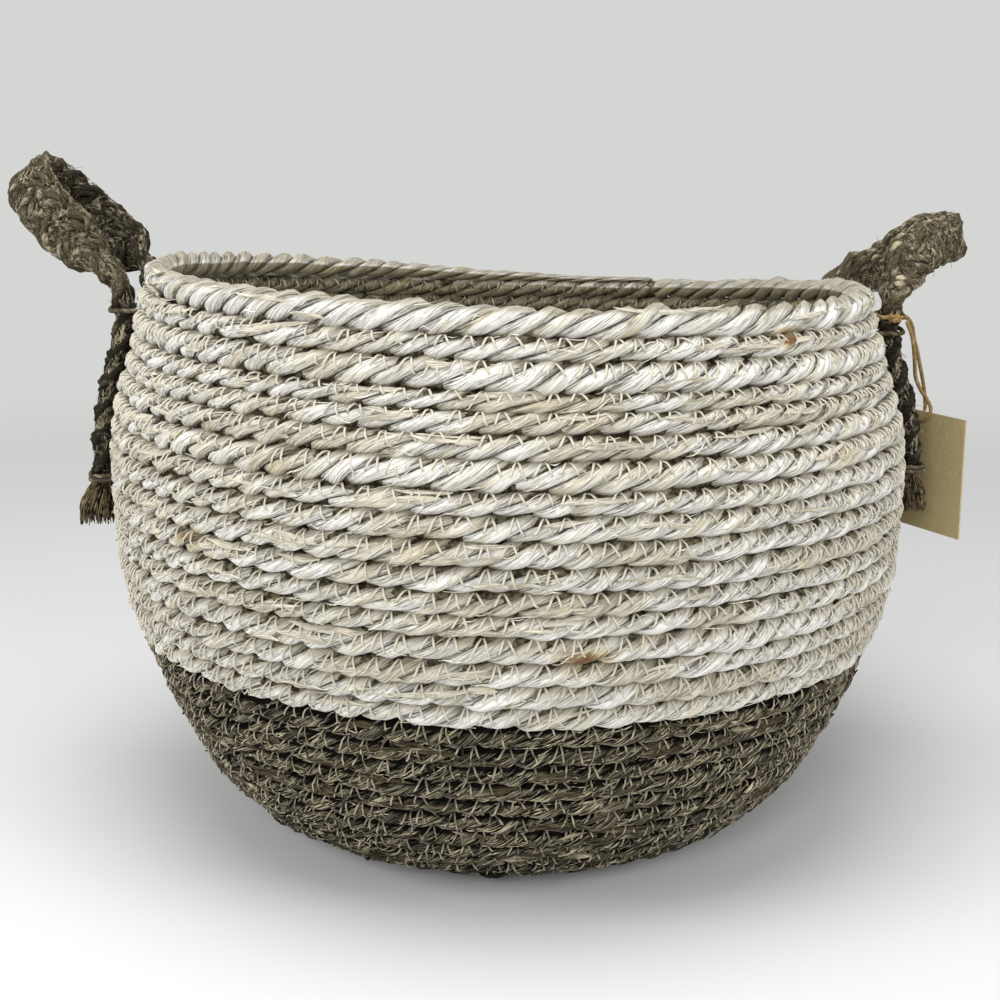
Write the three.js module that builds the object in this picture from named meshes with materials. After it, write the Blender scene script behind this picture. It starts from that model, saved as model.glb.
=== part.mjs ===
// Round basket of coiled leaf rope, dark below and whitewashed above, with two plaited jute handles.
// Millimetres, +Z up. The origin is the middle of the underside of the base.
// +X is to the right, -Y is the front, where the tag hangs beside the right handle.
import * as THREE from 'three';

// Rope and its rows
const ropePitch = 9.85;
const rowGap = 1.4;
const darkRows = 13;
const whiteRows = 16;
const rimRope = 12;
const rimGrowShare = 0.1;
const rimFadeShare = 0.22;
const rimTail = 4.5;
const endGap = 0.35;
const seamAzimuth = 60;
const handLean = 0.0235;
const backSag = 12.5;
const backDepth = 168;
const backCurve = 1.4;

// Centre line of the rope through the wall, from the base to the rim, as radius and height
const wallPoints = [
  [96.5, 6.9],
  [107.5, 9.9],
  [118, 14.8],
  [128.3, 21.3],
  [144.2, 38],
  [157, 61.2],
  [169.7, 90.2],
  [180.8, 124.1],
  [184.1, 160.2],
  [182.9, 197.1],
  [172.5, 233.9],
  [166, 261.1],
  [163.2, 277],
];
const leanHeight = 261.1;
const baseThickness = 9;
const baseBevel = 2;

// Plaited handle straps
const tailWidth = 26;
const strapThickness = 9;
const pinchedWidth = 21;
const strapCornerShare = 0.8;
const strapEdgeShare = 0.35;
const strapGap = 0.3;
const hingeGap = 0.7;
const handles = {
  left: {
    azimuth: 178,
    near: 1,
    legAngle: 9.5,
    hingeHeight: 263.5,
    lean: 49,
    tipLean: 42,
    reach: 73,
    tip: 0.86,
    width: 28,
    nearSway: [0, 0],
    farSway: [0, 0],
    nearTwistShare: 0.6,
  },
  right: {
    azimuth: 9,
    near: -1,
    legAngle: 13.5,
    hingeHeight: 254,
    lean: 38,
    tipLean: 84,
    reach: 60,
    tip: 0.55,
    width: 25,
    nearSway: [-7, 6],
    farSway: [6, -11],
    nearTwistShare: 0.22,
  },
};
const roundEndShares = [0.62, 0.9];
const hingeStandoff = 7.6;
const twistStart = 2;
const farTwistShare = 0.22;
const archStep = 5.4;
const tailSteps = 16;
const topLashingDrop = 13;
const endLashingHeight = 170;

// Twine lashings and the frayed ends below them
const twine = 1.9;
const topLashingHeight = 2.4;
const lashingCorner = 2.8;
const endLashingTurns = 3.4;
const lashingDepth = 1.7;
const tasselLength = 20;
const tasselWidth = 33;
const tasselDepth = 15;
const tasselRaggedShare = 0.86;

// Swing tag and its string
const tagWidth = 52;
const tagHeight = 59;
const tagThickness = 0.8;
const tagHole = 4.6;
const tagHoleInset = 18;
const tagHoleDrop = 5;
const tagTurn = -63;
const tagHolePoint = new THREE.Vector3(204.2, 10.2, 192.2);
const stringDiameter = 2;
const stringGap = 0.45;
const stringStep = 4.4;
const stringLoopCorner = 2;
const tagLoopHeight = 246.4;
const knotWidth = 6.4;
const tagStringRoute = [
  [185.75, -32.4, 245.0],
  [188.8, -30.4, 238.6],
  [190.8, -26.6, 233.4],
  [193.0, -20.8, 227.4],
  [195.0, -14.8, 221.6],
  [197.2, -9.2, 215.2],
  [201.2, -4.4, 208.6],
  [205.2, -2.0, 203.4],
  [207.4, -1.4, 198.6],
  [206.2, -0.2, 194.2],
  [203.9, 3.4, 191.8],
  [202.0, 6.9, 191.7],
  [202.4, 9.2, 191.9],
  [204.2, 10.2, 192.2],
  [206.0, 11.1, 192.5],
  [207.9, 11.8, 196.2],
  [207.4, 11.0, 202.4],
  [205.4, 8.2, 210.4],
  [202.2, 3.2, 219.0],
  [198.6, -3.6, 227.4],
  [194.6, -11.6, 235.0],
  [191.6, -19.4, 241.2],
  [188.5, -25.9, 244.9],
  [185.75, -29.6, 247.2],
];

const stepsPerTurn = 24;
const ropeSides = 6;
const ropeCorner = (ropePitch - rowGap) / Math.sqrt(3);
const rimCorner = (rimRope - rowGap) / Math.sqrt(3);
const wallRows = darkRows + whiteRows;
const chordEase = 2 / (1 + Math.cos(Math.PI / stepsPerTurn));
const radians = THREE.MathUtils.degToRad;

const leafDark = { color: 0x5f5548, roughness: 0.9 };
const leafWhite = { color: 0xdad6ca, roughness: 0.8 };
const jute = { color: 0x6e6455, roughness: 0.95 };
const card = { color: 0xb3a67c, roughness: 0.85 };
const string = { color: 0xb39a6b, roughness: 0.9 };

const basket = new THREE.Group();
basket.name = 'jute_basket';

function addPart(name, geometry, finish) {
  const mesh = new THREE.Mesh(geometry, new THREE.MeshStandardMaterial({ metalness: 0, ...finish }));
  mesh.name = name;
  basket.add(mesh);
  return mesh;
}

// A closed body through rings of points, capped at both ends and turned to face out
function sweptSolid(rings) {
  const sides = rings[0].length;
  const positions = rings.flat().flatMap((point) => [point.x, point.y, point.z]);
  const faces = [];
  for (let ring = 0; ring < rings.length - 1; ring += 1) {
    for (let side = 0; side < sides; side += 1) {
      const a = ring * sides + side;
      const b = ring * sides + ((side + 1) % sides);
      faces.push([a, b, b + sides], [a, b + sides, a + sides]);
    }
  }
  const last = (rings.length - 1) * sides;
  for (let side = 1; side < sides - 1; side += 1) {
    faces.push([0, side + 1, side], [last, last + side, last + side + 1]);
  }
  const corner = (index) => new THREE.Vector3().fromArray(positions, index * 3);
  const volume = faces.reduce(
    (sum, [a, b, c]) => sum + corner(a).dot(corner(b).cross(corner(c))),
    0,
  );
  const turned = volume < 0 ? faces.map(([a, b, c]) => [a, c, b]) : faces;
  const geometry = new THREE.BufferGeometry();
  geometry.setAttribute('position', new THREE.Float32BufferAttribute(positions, 3));
  geometry.setIndex(turned.flat());
  geometry.computeVertexNormals();
  return geometry;
}

// The hand-made wall stands a little higher on the left than on the right, and sags at the back
function leaned(point) {
  const share = point.z / leanHeight;
  const sag = backSag * share * THREE.MathUtils.clamp(point.y / backDepth, 0, 1) ** backCurve;
  return new THREE.Vector3(point.x, point.y, point.z - handLean * point.x * share * share - sag);
}

function onWall(radius, azimuth, height) {
  const angle = radians(azimuth);
  return new THREE.Vector3(radius * Math.cos(angle), radius * Math.sin(angle), height);
}

const wallLine = new THREE.CatmullRomCurve3(
  wallPoints.map(([radius, height]) => new THREE.Vector3(radius, 0, height)),
  false,
  'centripetal',
);
wallLine.arcLengthDivisions = 2000;
const wallLength = wallLine.getLength();

// Centre, outward normal and upward direction of a row, in the plane of radius and height
function wallFrame(length) {
  const share = THREE.MathUtils.clamp(length / wallLength, 0, 1);
  const centre = wallLine.getPointAt(share);
  const up = wallLine.getTangentAt(share);
  return { centre, up, out: new THREE.Vector3(up.z, 0, -up.x) };
}

// Turns are counted from the start of the wall and run clockwise from above
function azimuthOfTurn(turn) {
  return seamAzimuth - turn * 360;
}

// The last turn is thicker, sits on the row below and tapers out at its end
function rimSize(turn) {
  const share = turn - wallRows;
  const grow = THREE.MathUtils.smoothstep(share, 0, rimGrowShare);
  const fade = THREE.MathUtils.smoothstep(share, 1 - rimFadeShare, 1);
  const full = THREE.MathUtils.lerp(ropeCorner, rimCorner, grow);
  return THREE.MathUtils.lerp(full, rimTail / Math.sqrt(3), fade);
}

function rowCorner(turn) {
  return turn < wallRows ? ropeCorner : rimSize(turn);
}

function rowLength(turn) {
  if (turn <= wallRows) {
    return turn * ropePitch;
  }
  const halves = (ropeCorner + rimSize(turn)) * Math.sqrt(3) / 2;
  return (turn - 1) * ropePitch + halves + rowGap;
}

function ropeSection(turn) {
  const { centre, up, out } = wallFrame(rowLength(turn));
  const corner = rowCorner(turn);
  return Array.from({ length: ropeSides }, (_, side) => {
    const angle = (side / ropeSides) * 2 * Math.PI;
    const point = centre.clone();
    point.addScaledVector(out, corner * Math.cos(angle));
    point.addScaledVector(up, corner * Math.sin(angle));
    return point;
  });
}

function ropeRing(turn) {
  return ropeSection(turn).map((point) => {
    return leaned(onWall(point.x * chordEase, azimuthOfTurn(turn), point.z));
  });
}

function ropeCoil(firstTurn, lastTurn) {
  const startGap = endGap / (2 * Math.PI * wallFrame(rowLength(firstTurn)).centre.x);
  const turns = [firstTurn + startGap];
  for (let step = 1; step <= (lastTurn - firstTurn) * stepsPerTurn; step += 1) {
    turns.push(firstTurn + step / stepsPerTurn);
  }
  return sweptSolid(turns.map(ropeRing));
}

// Least distance between two closed outlines that lie in one plane of radius and height
function outlineGap(first, second) {
  let least = Infinity;
  const edge = new THREE.Line3();
  const foot = new THREE.Vector3();
  for (const [points, edges] of [[first, second], [second, first]]) {
    for (let side = 0; side < edges.length; side += 1) {
      edge.set(edges[side], edges[(side + 1) % edges.length]);
      for (const point of points) {
        edge.closestPointToPoint(point, true, foot);
        least = Math.min(least, foot.distanceTo(point));
      }
    }
  }
  return least;
}

function leastRowGap(firstTurn, lastTurn) {
  let least = Infinity;
  for (let step = 0; step <= (lastTurn - firstTurn - 1) * stepsPerTurn; step += 1) {
    const turn = firstTurn + step / stepsPerTurn;
    least = Math.min(least, outlineGap(ropeRing(turn), ropeRing(turn + 1)));
  }
  return least;
}

// Base: a plate of the coiled rope whose edge steps out by one row over a turn
function basePlate() {
  const innerEdge = (turn) => {
    const row = wallFrame(rowLength(turn)).centre.x;
    return (row - ropeCorner - rowGap - baseBevel) * chordEase;
  };
  const stepBack = (baseBevel + endGap) / (2 * Math.PI * innerEdge(1));
  const outline = [];
  for (let step = 0; step < stepsPerTurn; step += 1) {
    const turn = step / stepsPerTurn;
    outline.push(onWall(innerEdge(turn), azimuthOfTurn(turn), 0));
  }
  outline.push(onWall(innerEdge(1), azimuthOfTurn(1 - stepBack), 0));
  outline.push(onWall(innerEdge(0), azimuthOfTurn(1 - stepBack), 0));
  const geometry = new THREE.ExtrudeGeometry(new THREE.Shape(outline), {
    depth: baseThickness - 2 * baseBevel,
    bevelEnabled: true,
    bevelThickness: baseBevel,
    bevelSize: baseBevel,
    bevelSegments: 1,
  });
  return geometry.translate(0, 0, baseBevel);
}

addPart('base_coil', basePlate(), leafDark);
addPart('lower_wall_coil', ropeCoil(0, darkRows), leafDark);
addPart('upper_wall_coil', ropeCoil(darkRows, wallRows), leafWhite);
addPart('rim_coil', ropeCoil(wallRows, wallRows + 1), leafWhite);

const gaps = {
  lower: leastRowGap(0, darkRows),
  upper: leastRowGap(darkRows, wallRows + 1),
};
for (const [name, gap] of Object.entries(gaps)) {
  console.log(`least gap between the rows of the ${name} wall: ${gap.toFixed(2)} mm`);
}

// Outermost radius of the rows at a height, before the lean
const outsideLine = Array.from({ length: 401 }, (_, index) => {
  const { centre, out } = wallFrame((index / 400) * wallLength);
  return [centre.x * chordEase + out.x * ropeCorner, centre.z + out.z * ropeCorner];
});

function radiusAt(height) {
  const above = Math.max(1, outsideLine.findIndex(([, z]) => z >= height));
  const [lowRadius, lowHeight] = outsideLine[above - 1];
  const [highRadius, highHeight] = outsideLine[above];
  return THREE.MathUtils.mapLinear(height, lowHeight, highHeight, lowRadius, highRadius);
}

// Outermost radius of the leaning wall at an azimuth and height
function outsideRadius(azimuth, height) {
  let upright = height;
  for (let pass = 0; pass < 4; pass += 1) {
    const point = onWall(radiusAt(upright), azimuth, upright);
    upright += height - leaned(point).z;
  }
  return radiusAt(upright);
}

// The groove between two rows that lies nearest to a height
function grooveHeight(azimuth, height) {
  const turn = THREE.MathUtils.euclideanModulo((seamAzimuth - azimuth) / 360, 1);
  let nearest = 0;
  for (let row = 0; row < wallRows; row += 1) {
    const { centre } = wallFrame((row + turn + 0.5) * ropePitch);
    const point = leaned(onWall(centre.x, azimuth, centre.z));
    if (Math.abs(point.z - height) < Math.abs(nearest - height)) {
      nearest = point.z;
    }
  }
  return nearest;
}

// Section of a flat plaited strap, with its width along one axis and its thickness along the other
function strapRing(centre, across, through, width, thickness) {
  const halfWidth = width / 2;
  const halfThickness = thickness / 2;
  const corner = halfThickness * strapCornerShare;
  const edge = halfThickness * strapEdgeShare;
  const outline = [
    [halfWidth, -edge],
    [halfWidth, edge],
    [halfWidth - corner, halfThickness],
    [corner - halfWidth, halfThickness],
    [-halfWidth, edge],
    [-halfWidth, -edge],
    [corner - halfWidth, -halfThickness],
    [halfWidth - corner, -halfThickness],
  ];
  return outline.map(([wide, deep]) => {
    return centre.clone().addScaledVector(across, wide).addScaledVector(through, deep);
  });
}

function handleFrame(handle) {
  const angle = radians(handle.azimuth);
  const outward = new THREE.Vector3(Math.cos(angle), Math.sin(angle), 0);
  const along = new THREE.Vector3(-outward.y, outward.x, 0);
  const legRadius = outsideRadius(handle.azimuth, handle.hingeHeight - topLashingDrop) + hingeStandoff;
  const distance = legRadius * Math.cos(radians(handle.legAngle));
  const hinge = outward.clone().multiplyScalar(distance);
  hinge.z = handle.hingeHeight;
  return { outward, along, hinge, legRadius, spread: legRadius * Math.sin(radians(handle.legAngle)) };
}

// A loop leans out from its hinge line by an angle that changes evenly up to its tip
function leanOfLoop(handle, reach) {
  const { outward } = handleFrame(handle);
  const up = new THREE.Vector3(0, 0, 1);
  const first = radians(handle.lean);
  const change = (radians(handle.tipLean) - first) / reach;
  return (height) => {
    const lean = first + change * height;
    const out = (Math.cos(first) - Math.cos(lean)) / change;
    const risen = (Math.sin(lean) - Math.sin(first)) / change;
    return {
      offset: outward.clone().multiplyScalar(out).addScaledVector(up, risen),
      rise: outward.clone().multiplyScalar(Math.sin(lean)).addScaledVector(up, Math.cos(lean)),
      face: outward.clone().multiplyScalar(Math.cos(lean)).addScaledVector(up, -Math.sin(lean)),
    };
  };
}

// The legs of a loop turn a quarter turn so that its arch is a flat band
function handleLoop(handle) {
  const { outward, along, hinge, spread } = handleFrame(handle);
  const reach = handle.reach - strapThickness / 2;
  const leanAt = leanOfLoop(handle, reach);
  const shape = [
    [1, 0],
    [1.02, 0.2],
    [1, 0.45],
    [handle.tip, 0.72],
    [handle.tip / 2, 0.94],
  ];
  const halfArch = shape.map(([across, height]) => new THREE.Vector3(across * spread, height * reach, 0));
  const otherHalf = halfArch.map((point) => new THREE.Vector3(-point.x, point.y, 0)).reverse();
  const arch = new THREE.CatmullRomCurve3(
    [...halfArch, new THREE.Vector3(0, reach, 0), ...otherHalf],
    false,
    'centripetal',
  );
  const steps = Math.round(arch.getLength() / archStep);
  const rings = [];
  for (let step = 0; step <= steps; step += 1) {
    const share = step / steps;
    const flat = arch.getPointAt(share);
    const tangent = arch.getTangentAt(share);
    const fromEnd = Math.min(share, 1 - share) * arch.getLength();
    const twistShare = flat.x * handle.near > 0 ? handle.nearTwistShare : farTwistShare;
    const twistEnd = twistStart + twistShare * handle.reach;
    const turn = (1 - THREE.MathUtils.smoothstep(fromEnd, twistStart, twistEnd)) * Math.PI / 2;
    const { offset, rise, face } = leanAt(flat.y);
    const sideways = new THREE.Vector3(tangent.y, -tangent.x, 0);
    const normal = along.clone().multiplyScalar(sideways.x).addScaledVector(rise, sideways.y);
    const across = face.clone().multiplyScalar(Math.cos(turn)).addScaledVector(normal, Math.sin(turn));
    const through = face.clone().multiplyScalar(-Math.sin(turn)).addScaledVector(normal, Math.cos(turn));
    const width = THREE.MathUtils.lerp(
      pinchedWidth,
      handle.width,
      THREE.MathUtils.smoothstep(fromEnd, 0, twistEnd / 2),
    );
    const centre = hinge.clone().addScaledVector(along, flat.x).add(offset);
    const nearness = THREE.MathUtils.clamp(0.5 + (0.5 * handle.near * flat.x) / spread, 0, 1);
    const bow = Math.sin((Math.PI * flat.y) / reach);
    const nearBow = nearness * bow;
    const farBow = (1 - nearness) * bow * bow;
    centre.addScaledVector(outward, handle.nearSway[0] * nearBow + handle.farSway[0] * farBow);
    centre.z += handle.nearSway[1] * nearBow + handle.farSway[1] * farBow;
    rings.push(strapRing(centre, across, through, width, strapThickness));
  }
  const { rise, face } = leanAt(0);
  const roundEnd = (legSide) => roundEndShares.map((share) => {
    const centre = hinge.clone().addScaledVector(along, legSide * spread);
    centre.addScaledVector(rise, -share * strapThickness / 2);
    const thickness = strapThickness * Math.sqrt(1 - share * share);
    return strapRing(
      centre,
      along.clone().multiplyScalar(legSide),
      face.clone().multiplyScalar(-1),
      pinchedWidth,
      thickness,
    );
  });
  const otherEnd = roundEnd(-1);
  return sweptSolid([...roundEnd(1).reverse(), ...rings, ...otherEnd]);
}

// A tail hangs from the hinge line down the outside of the wall to its frayed end
function tailLine(azimuth, topRadius, topHeight, endHeight) {
  const points = [];
  const count = 9;
  for (let step = 0; step <= count; step += 1) {
    const height = THREE.MathUtils.lerp(topHeight, endHeight, step / count);
    const hugging = outsideRadius(azimuth, height) + strapGap + strapThickness / 2;
    const share = THREE.MathUtils.smoothstep(step, 0, 2);
    const radius = THREE.MathUtils.lerp(topRadius, hugging, share);
    points.push(onWall(Math.max(radius, hugging), azimuth, height));
  }
  return new THREE.CatmullRomCurve3(points, false, 'centripetal');
}

function tailSolid(line, azimuth, pinchHeights) {
  const angle = radians(azimuth);
  const sideways = new THREE.Vector3(-Math.sin(angle), Math.cos(angle), 0);
  const rings = [];
  for (let step = 0; step <= tailSteps; step += 1) {
    const share = step / tailSteps;
    const centre = line.getPointAt(share);
    const outward = sideways.clone().cross(line.getTangentAt(share)).normalize();
    const nearest = Math.min(...pinchHeights.map((height) => Math.abs(height - centre.z)));
    const open = THREE.MathUtils.smoothstep(nearest, twine, tailWidth / 2);
    const width = THREE.MathUtils.lerp(pinchedWidth, tailWidth, open);
    rings.push(strapRing(centre, sideways, outward, width, strapThickness));
  }
  return sweptSolid(rings);
}

function radiusOfLine(line, height) {
  const points = line.getSpacedPoints(200);
  const nearest = points.reduce((best, point) => {
    return Math.abs(point.z - height) < Math.abs(best.z - height) ? point : best;
  });
  return Math.hypot(nearest.x, nearest.y);
}

// Turns of twine over a tail, whose two ends go in between the rows of the wall
function lashing(line, azimuth, height, turnsHeight) {
  const lower = outsideRadius(azimuth, height) - lashingDepth;
  const bandTop = radiusOfLine(line, height) + strapThickness / 2 + stringGap;
  const inner = pinchedWidth / 2 + stringGap;
  const outer = inner + twine;
  const outside = bandTop + twine;
  const shape = new THREE.Shape();
  shape.moveTo(lower, -outer);
  shape.lineTo(outside - lashingCorner, -outer);
  shape.lineTo(outside, -outer + lashingCorner);
  shape.lineTo(outside, outer - lashingCorner);
  shape.lineTo(outside - lashingCorner, outer);
  shape.lineTo(lower, outer);
  shape.lineTo(lower, inner);
  shape.lineTo(bandTop, inner);
  shape.lineTo(bandTop, -inner);
  shape.lineTo(lower, -inner);
  const geometry = new THREE.ExtrudeGeometry(shape, { depth: turnsHeight, bevelEnabled: false });
  geometry.translate(0, 0, height - turnsHeight / 2);
  return geometry.rotateZ(radians(azimuth));
}

function tassel(azimuth, topHeight) {
  const angle = radians(azimuth);
  const sideways = new THREE.Vector3(-Math.sin(angle), Math.cos(angle), 0);
  const outward = new THREE.Vector3(Math.cos(angle), Math.sin(angle), 0);
  const rings = [0, 0.25, 0.6, 0.9, 1].map((share) => {
    const height = topHeight - share * tasselLength;
    const flare = THREE.MathUtils.smoothstep(share, 0, 0.9);
    const ragged = share === 1 ? tasselRaggedShare : 1;
    const width = THREE.MathUtils.lerp(pinchedWidth, tasselWidth, flare) * ragged;
    const depth = THREE.MathUtils.lerp(strapThickness, tasselDepth, flare) * ragged;
    const wall = Math.max(outsideRadius(azimuth, height), outsideRadius(azimuth, topHeight));
    const inside = wall + strapGap;
    const centre = outward.clone().multiplyScalar(inside + depth / 2);
    centre.z = height;
    return strapRing(centre, sideways, outward, width, depth);
  });
  return sweptSolid(rings);
}

function numbers(vector, digits) {
  return vector.toArray().map((value) => value.toFixed(digits)).join(', ');
}

const tailLines = {};
for (const [side, handle] of Object.entries(handles)) {
  const { hinge, along, legRadius } = handleFrame(handle);
  console.log(`${side} handle turns about ${numbers(along, 4)} at ${numbers(hinge, 2)} mm`);
  addPart(`handle_${side}_loop`, handleLoop(handle), jute);
  for (const [place, turn] of [['near', 1], ['far', -1]]) {
    const azimuth = handle.azimuth + turn * handle.near * handle.legAngle;
    const name = `handle_${side}_${place}`;
    const lashHeight = grooveHeight(azimuth, handle.hingeHeight - topLashingDrop);
    const endHeight = grooveHeight(azimuth, endLashingHeight);
    const tailEnd = endHeight - endLashingTurns / 2;
    const tailTop = handle.hingeHeight - strapThickness / 2 - hingeGap;
    const line = tailLine(azimuth, legRadius, tailTop, tailEnd);
    tailLines[name] = { line, azimuth };
    addPart(`${name}_tail`, tailSolid(line, azimuth, [lashHeight, endHeight, tailTop]), jute);
    addPart(`${name}_top_lashing`, lashing(line, azimuth, lashHeight, topLashingHeight), jute);
    addPart(`${name}_end_lashing`, lashing(line, azimuth, endHeight, endLashingTurns), jute);
    addPart(`${name}_tassel`, tassel(azimuth, tailEnd - endGap), jute);
  }
}

// The tag is a plain card that hangs turned away from the front, with the string through its hole
function tagCard() {
  const left = -tagHoleInset;
  const right = tagWidth - tagHoleInset;
  const top = tagHoleDrop;
  const bottom = tagHoleDrop - tagHeight;
  const outline = new THREE.Shape();
  outline.moveTo(left, bottom);
  outline.lineTo(right, bottom);
  outline.lineTo(right, top);
  outline.lineTo(left, top);
  const hole = new THREE.Path();
  hole.absarc(0, 0, tagHole / 2, 0, 2 * Math.PI, true);
  outline.holes.push(hole);
  const geometry = new THREE.ExtrudeGeometry(outline, {
    depth: tagThickness,
    bevelEnabled: false,
    curveSegments: 12,
  });
  return geometry.translate(0, 0, -tagThickness / 2).rotateX(Math.PI / 2);
}

const tag = addPart('tag', tagCard(), card);
tag.rotation.z = radians(tagTurn);
tag.position.copy(tagHolePoint);
tag.position.z -= tagHole / 2 - stringDiameter / 2 - stringGap;

function stringTube(route) {
  const path = new THREE.CatmullRomCurve3(
    route.map(([x, y, z]) => new THREE.Vector3(x, y, z)),
    false,
    'centripetal',
  );
  const section = new THREE.Shape();
  section.absarc(0, 0, stringDiameter / 2, 0, 2 * Math.PI);
  return new THREE.ExtrudeGeometry(section, {
    steps: Math.round(path.getLength() / stringStep),
    extrudePath: path,
    curveSegments: 4,
  });
}

// The string goes once round the near strap of the right handle and is knotted at its front edge
function stringLoop(azimuth, radius) {
  const ring = (grow) => {
    const through = strapThickness / 2 + stringGap + grow;
    const across = pinchedWidth / 2 + stringGap + grow;
    const corner = stringLoopCorner + grow;
    return [
      [through, corner - across],
      [through, across - corner],
      [through - corner, across],
      [corner - through, across],
      [-through, across - corner],
      [-through, corner - across],
      [corner - through, -across],
      [through - corner, -across],
    ].map(([x, y]) => new THREE.Vector2(x + radius, y));
  };
  const outline = new THREE.Shape(ring(stringDiameter));
  outline.holes.push(new THREE.Path(ring(0).reverse()));
  const geometry = new THREE.ExtrudeGeometry(outline, { depth: stringDiameter, bevelEnabled: false });
  geometry.translate(0, 0, tagLoopHeight - stringDiameter / 2);
  return geometry.rotateZ(radians(azimuth));
}

const { line: taggedLine, azimuth: loopAzimuth } = tailLines.handle_right_near;
const loopRadius = radiusOfLine(taggedLine, tagLoopHeight);
addPart('tag_string_loop', stringLoop(loopAzimuth, loopRadius), string);
const knot = addPart('tag_string_knot', new THREE.SphereGeometry(knotWidth / 2, 10, 6), string);
const knotReach = pinchedWidth / 2 + stringGap * 2 + stringDiameter + knotWidth / 2;
knot.position.set(loopRadius, -knotReach, tagLoopHeight);
knot.position.applyAxisAngle(new THREE.Vector3(0, 0, 1), radians(loopAzimuth));
addPart('tag_string', stringTube(tagStringRoute), string);

export default basket;
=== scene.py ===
import math
from functools import partial

import bmesh
import bpy
import numpy as np
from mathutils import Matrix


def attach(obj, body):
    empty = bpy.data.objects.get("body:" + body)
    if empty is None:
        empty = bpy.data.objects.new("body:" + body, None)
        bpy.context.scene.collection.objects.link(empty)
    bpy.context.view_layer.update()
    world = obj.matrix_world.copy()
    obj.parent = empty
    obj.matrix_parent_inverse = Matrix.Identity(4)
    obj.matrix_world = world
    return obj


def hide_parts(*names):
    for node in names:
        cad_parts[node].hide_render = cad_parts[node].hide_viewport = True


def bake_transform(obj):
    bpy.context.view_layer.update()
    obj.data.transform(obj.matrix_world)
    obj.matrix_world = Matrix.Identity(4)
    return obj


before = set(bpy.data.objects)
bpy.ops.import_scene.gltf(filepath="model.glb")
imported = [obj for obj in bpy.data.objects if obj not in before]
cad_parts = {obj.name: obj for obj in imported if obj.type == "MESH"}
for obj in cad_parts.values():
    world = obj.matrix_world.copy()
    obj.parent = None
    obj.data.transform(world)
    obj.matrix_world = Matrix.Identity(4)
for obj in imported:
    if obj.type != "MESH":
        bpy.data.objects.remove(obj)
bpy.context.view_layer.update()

MM = 0.001
LINE_POINTS = 4000

# Rope and its rows, in millimetres, degrees and turns
PITCH = 9.85
ROW_GAP = 1.4
DARK_ROWS = 13
WALL_ROWS = 29
RIM_ROPE = 12
TAIL_HALF = 1.3
RIM_GROW = 0.1
RIM_FADE = 0.78
SEAM_AZIMUTH = 60
HAND_LEAN = 0.0235
BACK_SAG = 12.5
BACK_DEPTH = 168
BACK_CURVE = 1.4
LEAN_HEIGHT = 261.1
BASE_TURNS = 9.2
BASE_HEIGHT = 5.6
ROPE_DEPTH = 5.5
BASE_DEPTH = 5.0
DEPTH_SHARE = 0.45
WALL_LAY = 45
RIM_LAY = 42
ROPE_STEP = 2.0
CORE_STEP = 6
CORE_DEPTH = 3
CORE_ON_RIM = 0.7
WALL_POINTS = [
    (96.5, 6.9), (107.5, 9.9), (118, 14.8), (128.3, 21.3), (144.2, 38), (157, 61.2),
    (169.7, 90.2), (180.8, 124.1), (184.1, 160.2), (182.9, 197.1), (172.5, 233.9), (166, 261.1),
    (163.2, 277),
]

# How far each seam strays from its even place at the front, from the top row down, and at random elsewhere
FRONT_SEAM_SHIFTS = [0, 0.7, -1.6, 0.8, 1.7, 1.7, -0.2, 0.5, 0.6, 0, 0, 0.6, 1.8, 0.3, 1, 0.3, 0.2]
FRONT_SEAM = 11 / 12
BACK_SEAM = 5 / 12
LOW_SEAM_SHIFT = 0.5
BACK_SEAM_SHIFT = 0.7

# Height of the lobes across one of the three plies, from groove to groove
PLY_ANGLES = [-60, -53, -36, -13, 12, 36, 54]
PLY_SHAPE = [0.4, 0.76, 0.97, 1.06, 1.03, 0.9, 0.68]
PLIES = 3
PLY_TURN = 360 / PLIES
LAY_WIDTH = 5
ROW_OVERLAP = 1.13
FLATNESS = 0.42

# Drifts along the rope: strength, period in millimetres and first seed
SLOW_TWIST = (0.13, 70, 5)
QUICK_TWIST = (0.06, 21, 6)
WIDE_DRIFT = (0.5, 23, 8)
TALL_DRIFT = (0.5, 31, 7)
LOOSE = (1, 48, 9)
SWELL = (1, 14, 11)
SMALL_SWELL = (0.6, 6, 21)
LUMP = (1, 90, 31)
TINT = (1, 26, 41)
SWELL_SIZE = 0.12
LUMP_SIZE = 0.1
FOLD_SIZE = 0.07
LOOSE_FOLD_SIZE = 0.12
LOOSE_RANGE = (0.15, 0.75)

# Marks on the rope: how far the rim's top faces out, the heights of the painted shade near the floor, the
# shape of a stain
TOP_FACING = 0.35
TOP_FACING_GAIN = 0.8
FLOOR_SHADE_HEIGHTS = (8, 42)
STAIN_SQUASH = (0.6, 0.6, 1.3)

# A row sags over the seam below it and is drawn in by the stitches near the seam above it
SAG = 1.2
SAG_ANGLE = -38
SAG_SPREAD = 30
DRAWN = 1.0
DRAWN_ANGLE = 64
DRAWN_SPREAD = 22
RELIEF_EDGE = 0.25

# Brown marks on the painted rope: a point in each, its size and its depth
STAINS = [
    ((114.4, -131.5, 250.0), 5, 1.3), ((30.0, -189.0, 130.2), 7, 1.15),
    ((-133.0, -138.0, 168.0), 7, 0.95), ((-108.0, -157.0, 190.5), 12, 0.36),
    ((-95, -163.0, 203.4), 10, 0.3), ((-135.5, -101.2, 276.0), 4, 0.5),
    ((25.5, -168.1, 269.0), 8, 0.6), ((30.0, -180.0, 227.0), 14, 0.42),
    ((-30.0, -188.0, 177.3), 11, 0.4), ((139.0, -121.0, 200.0), 9, 0.5),
]

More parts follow.
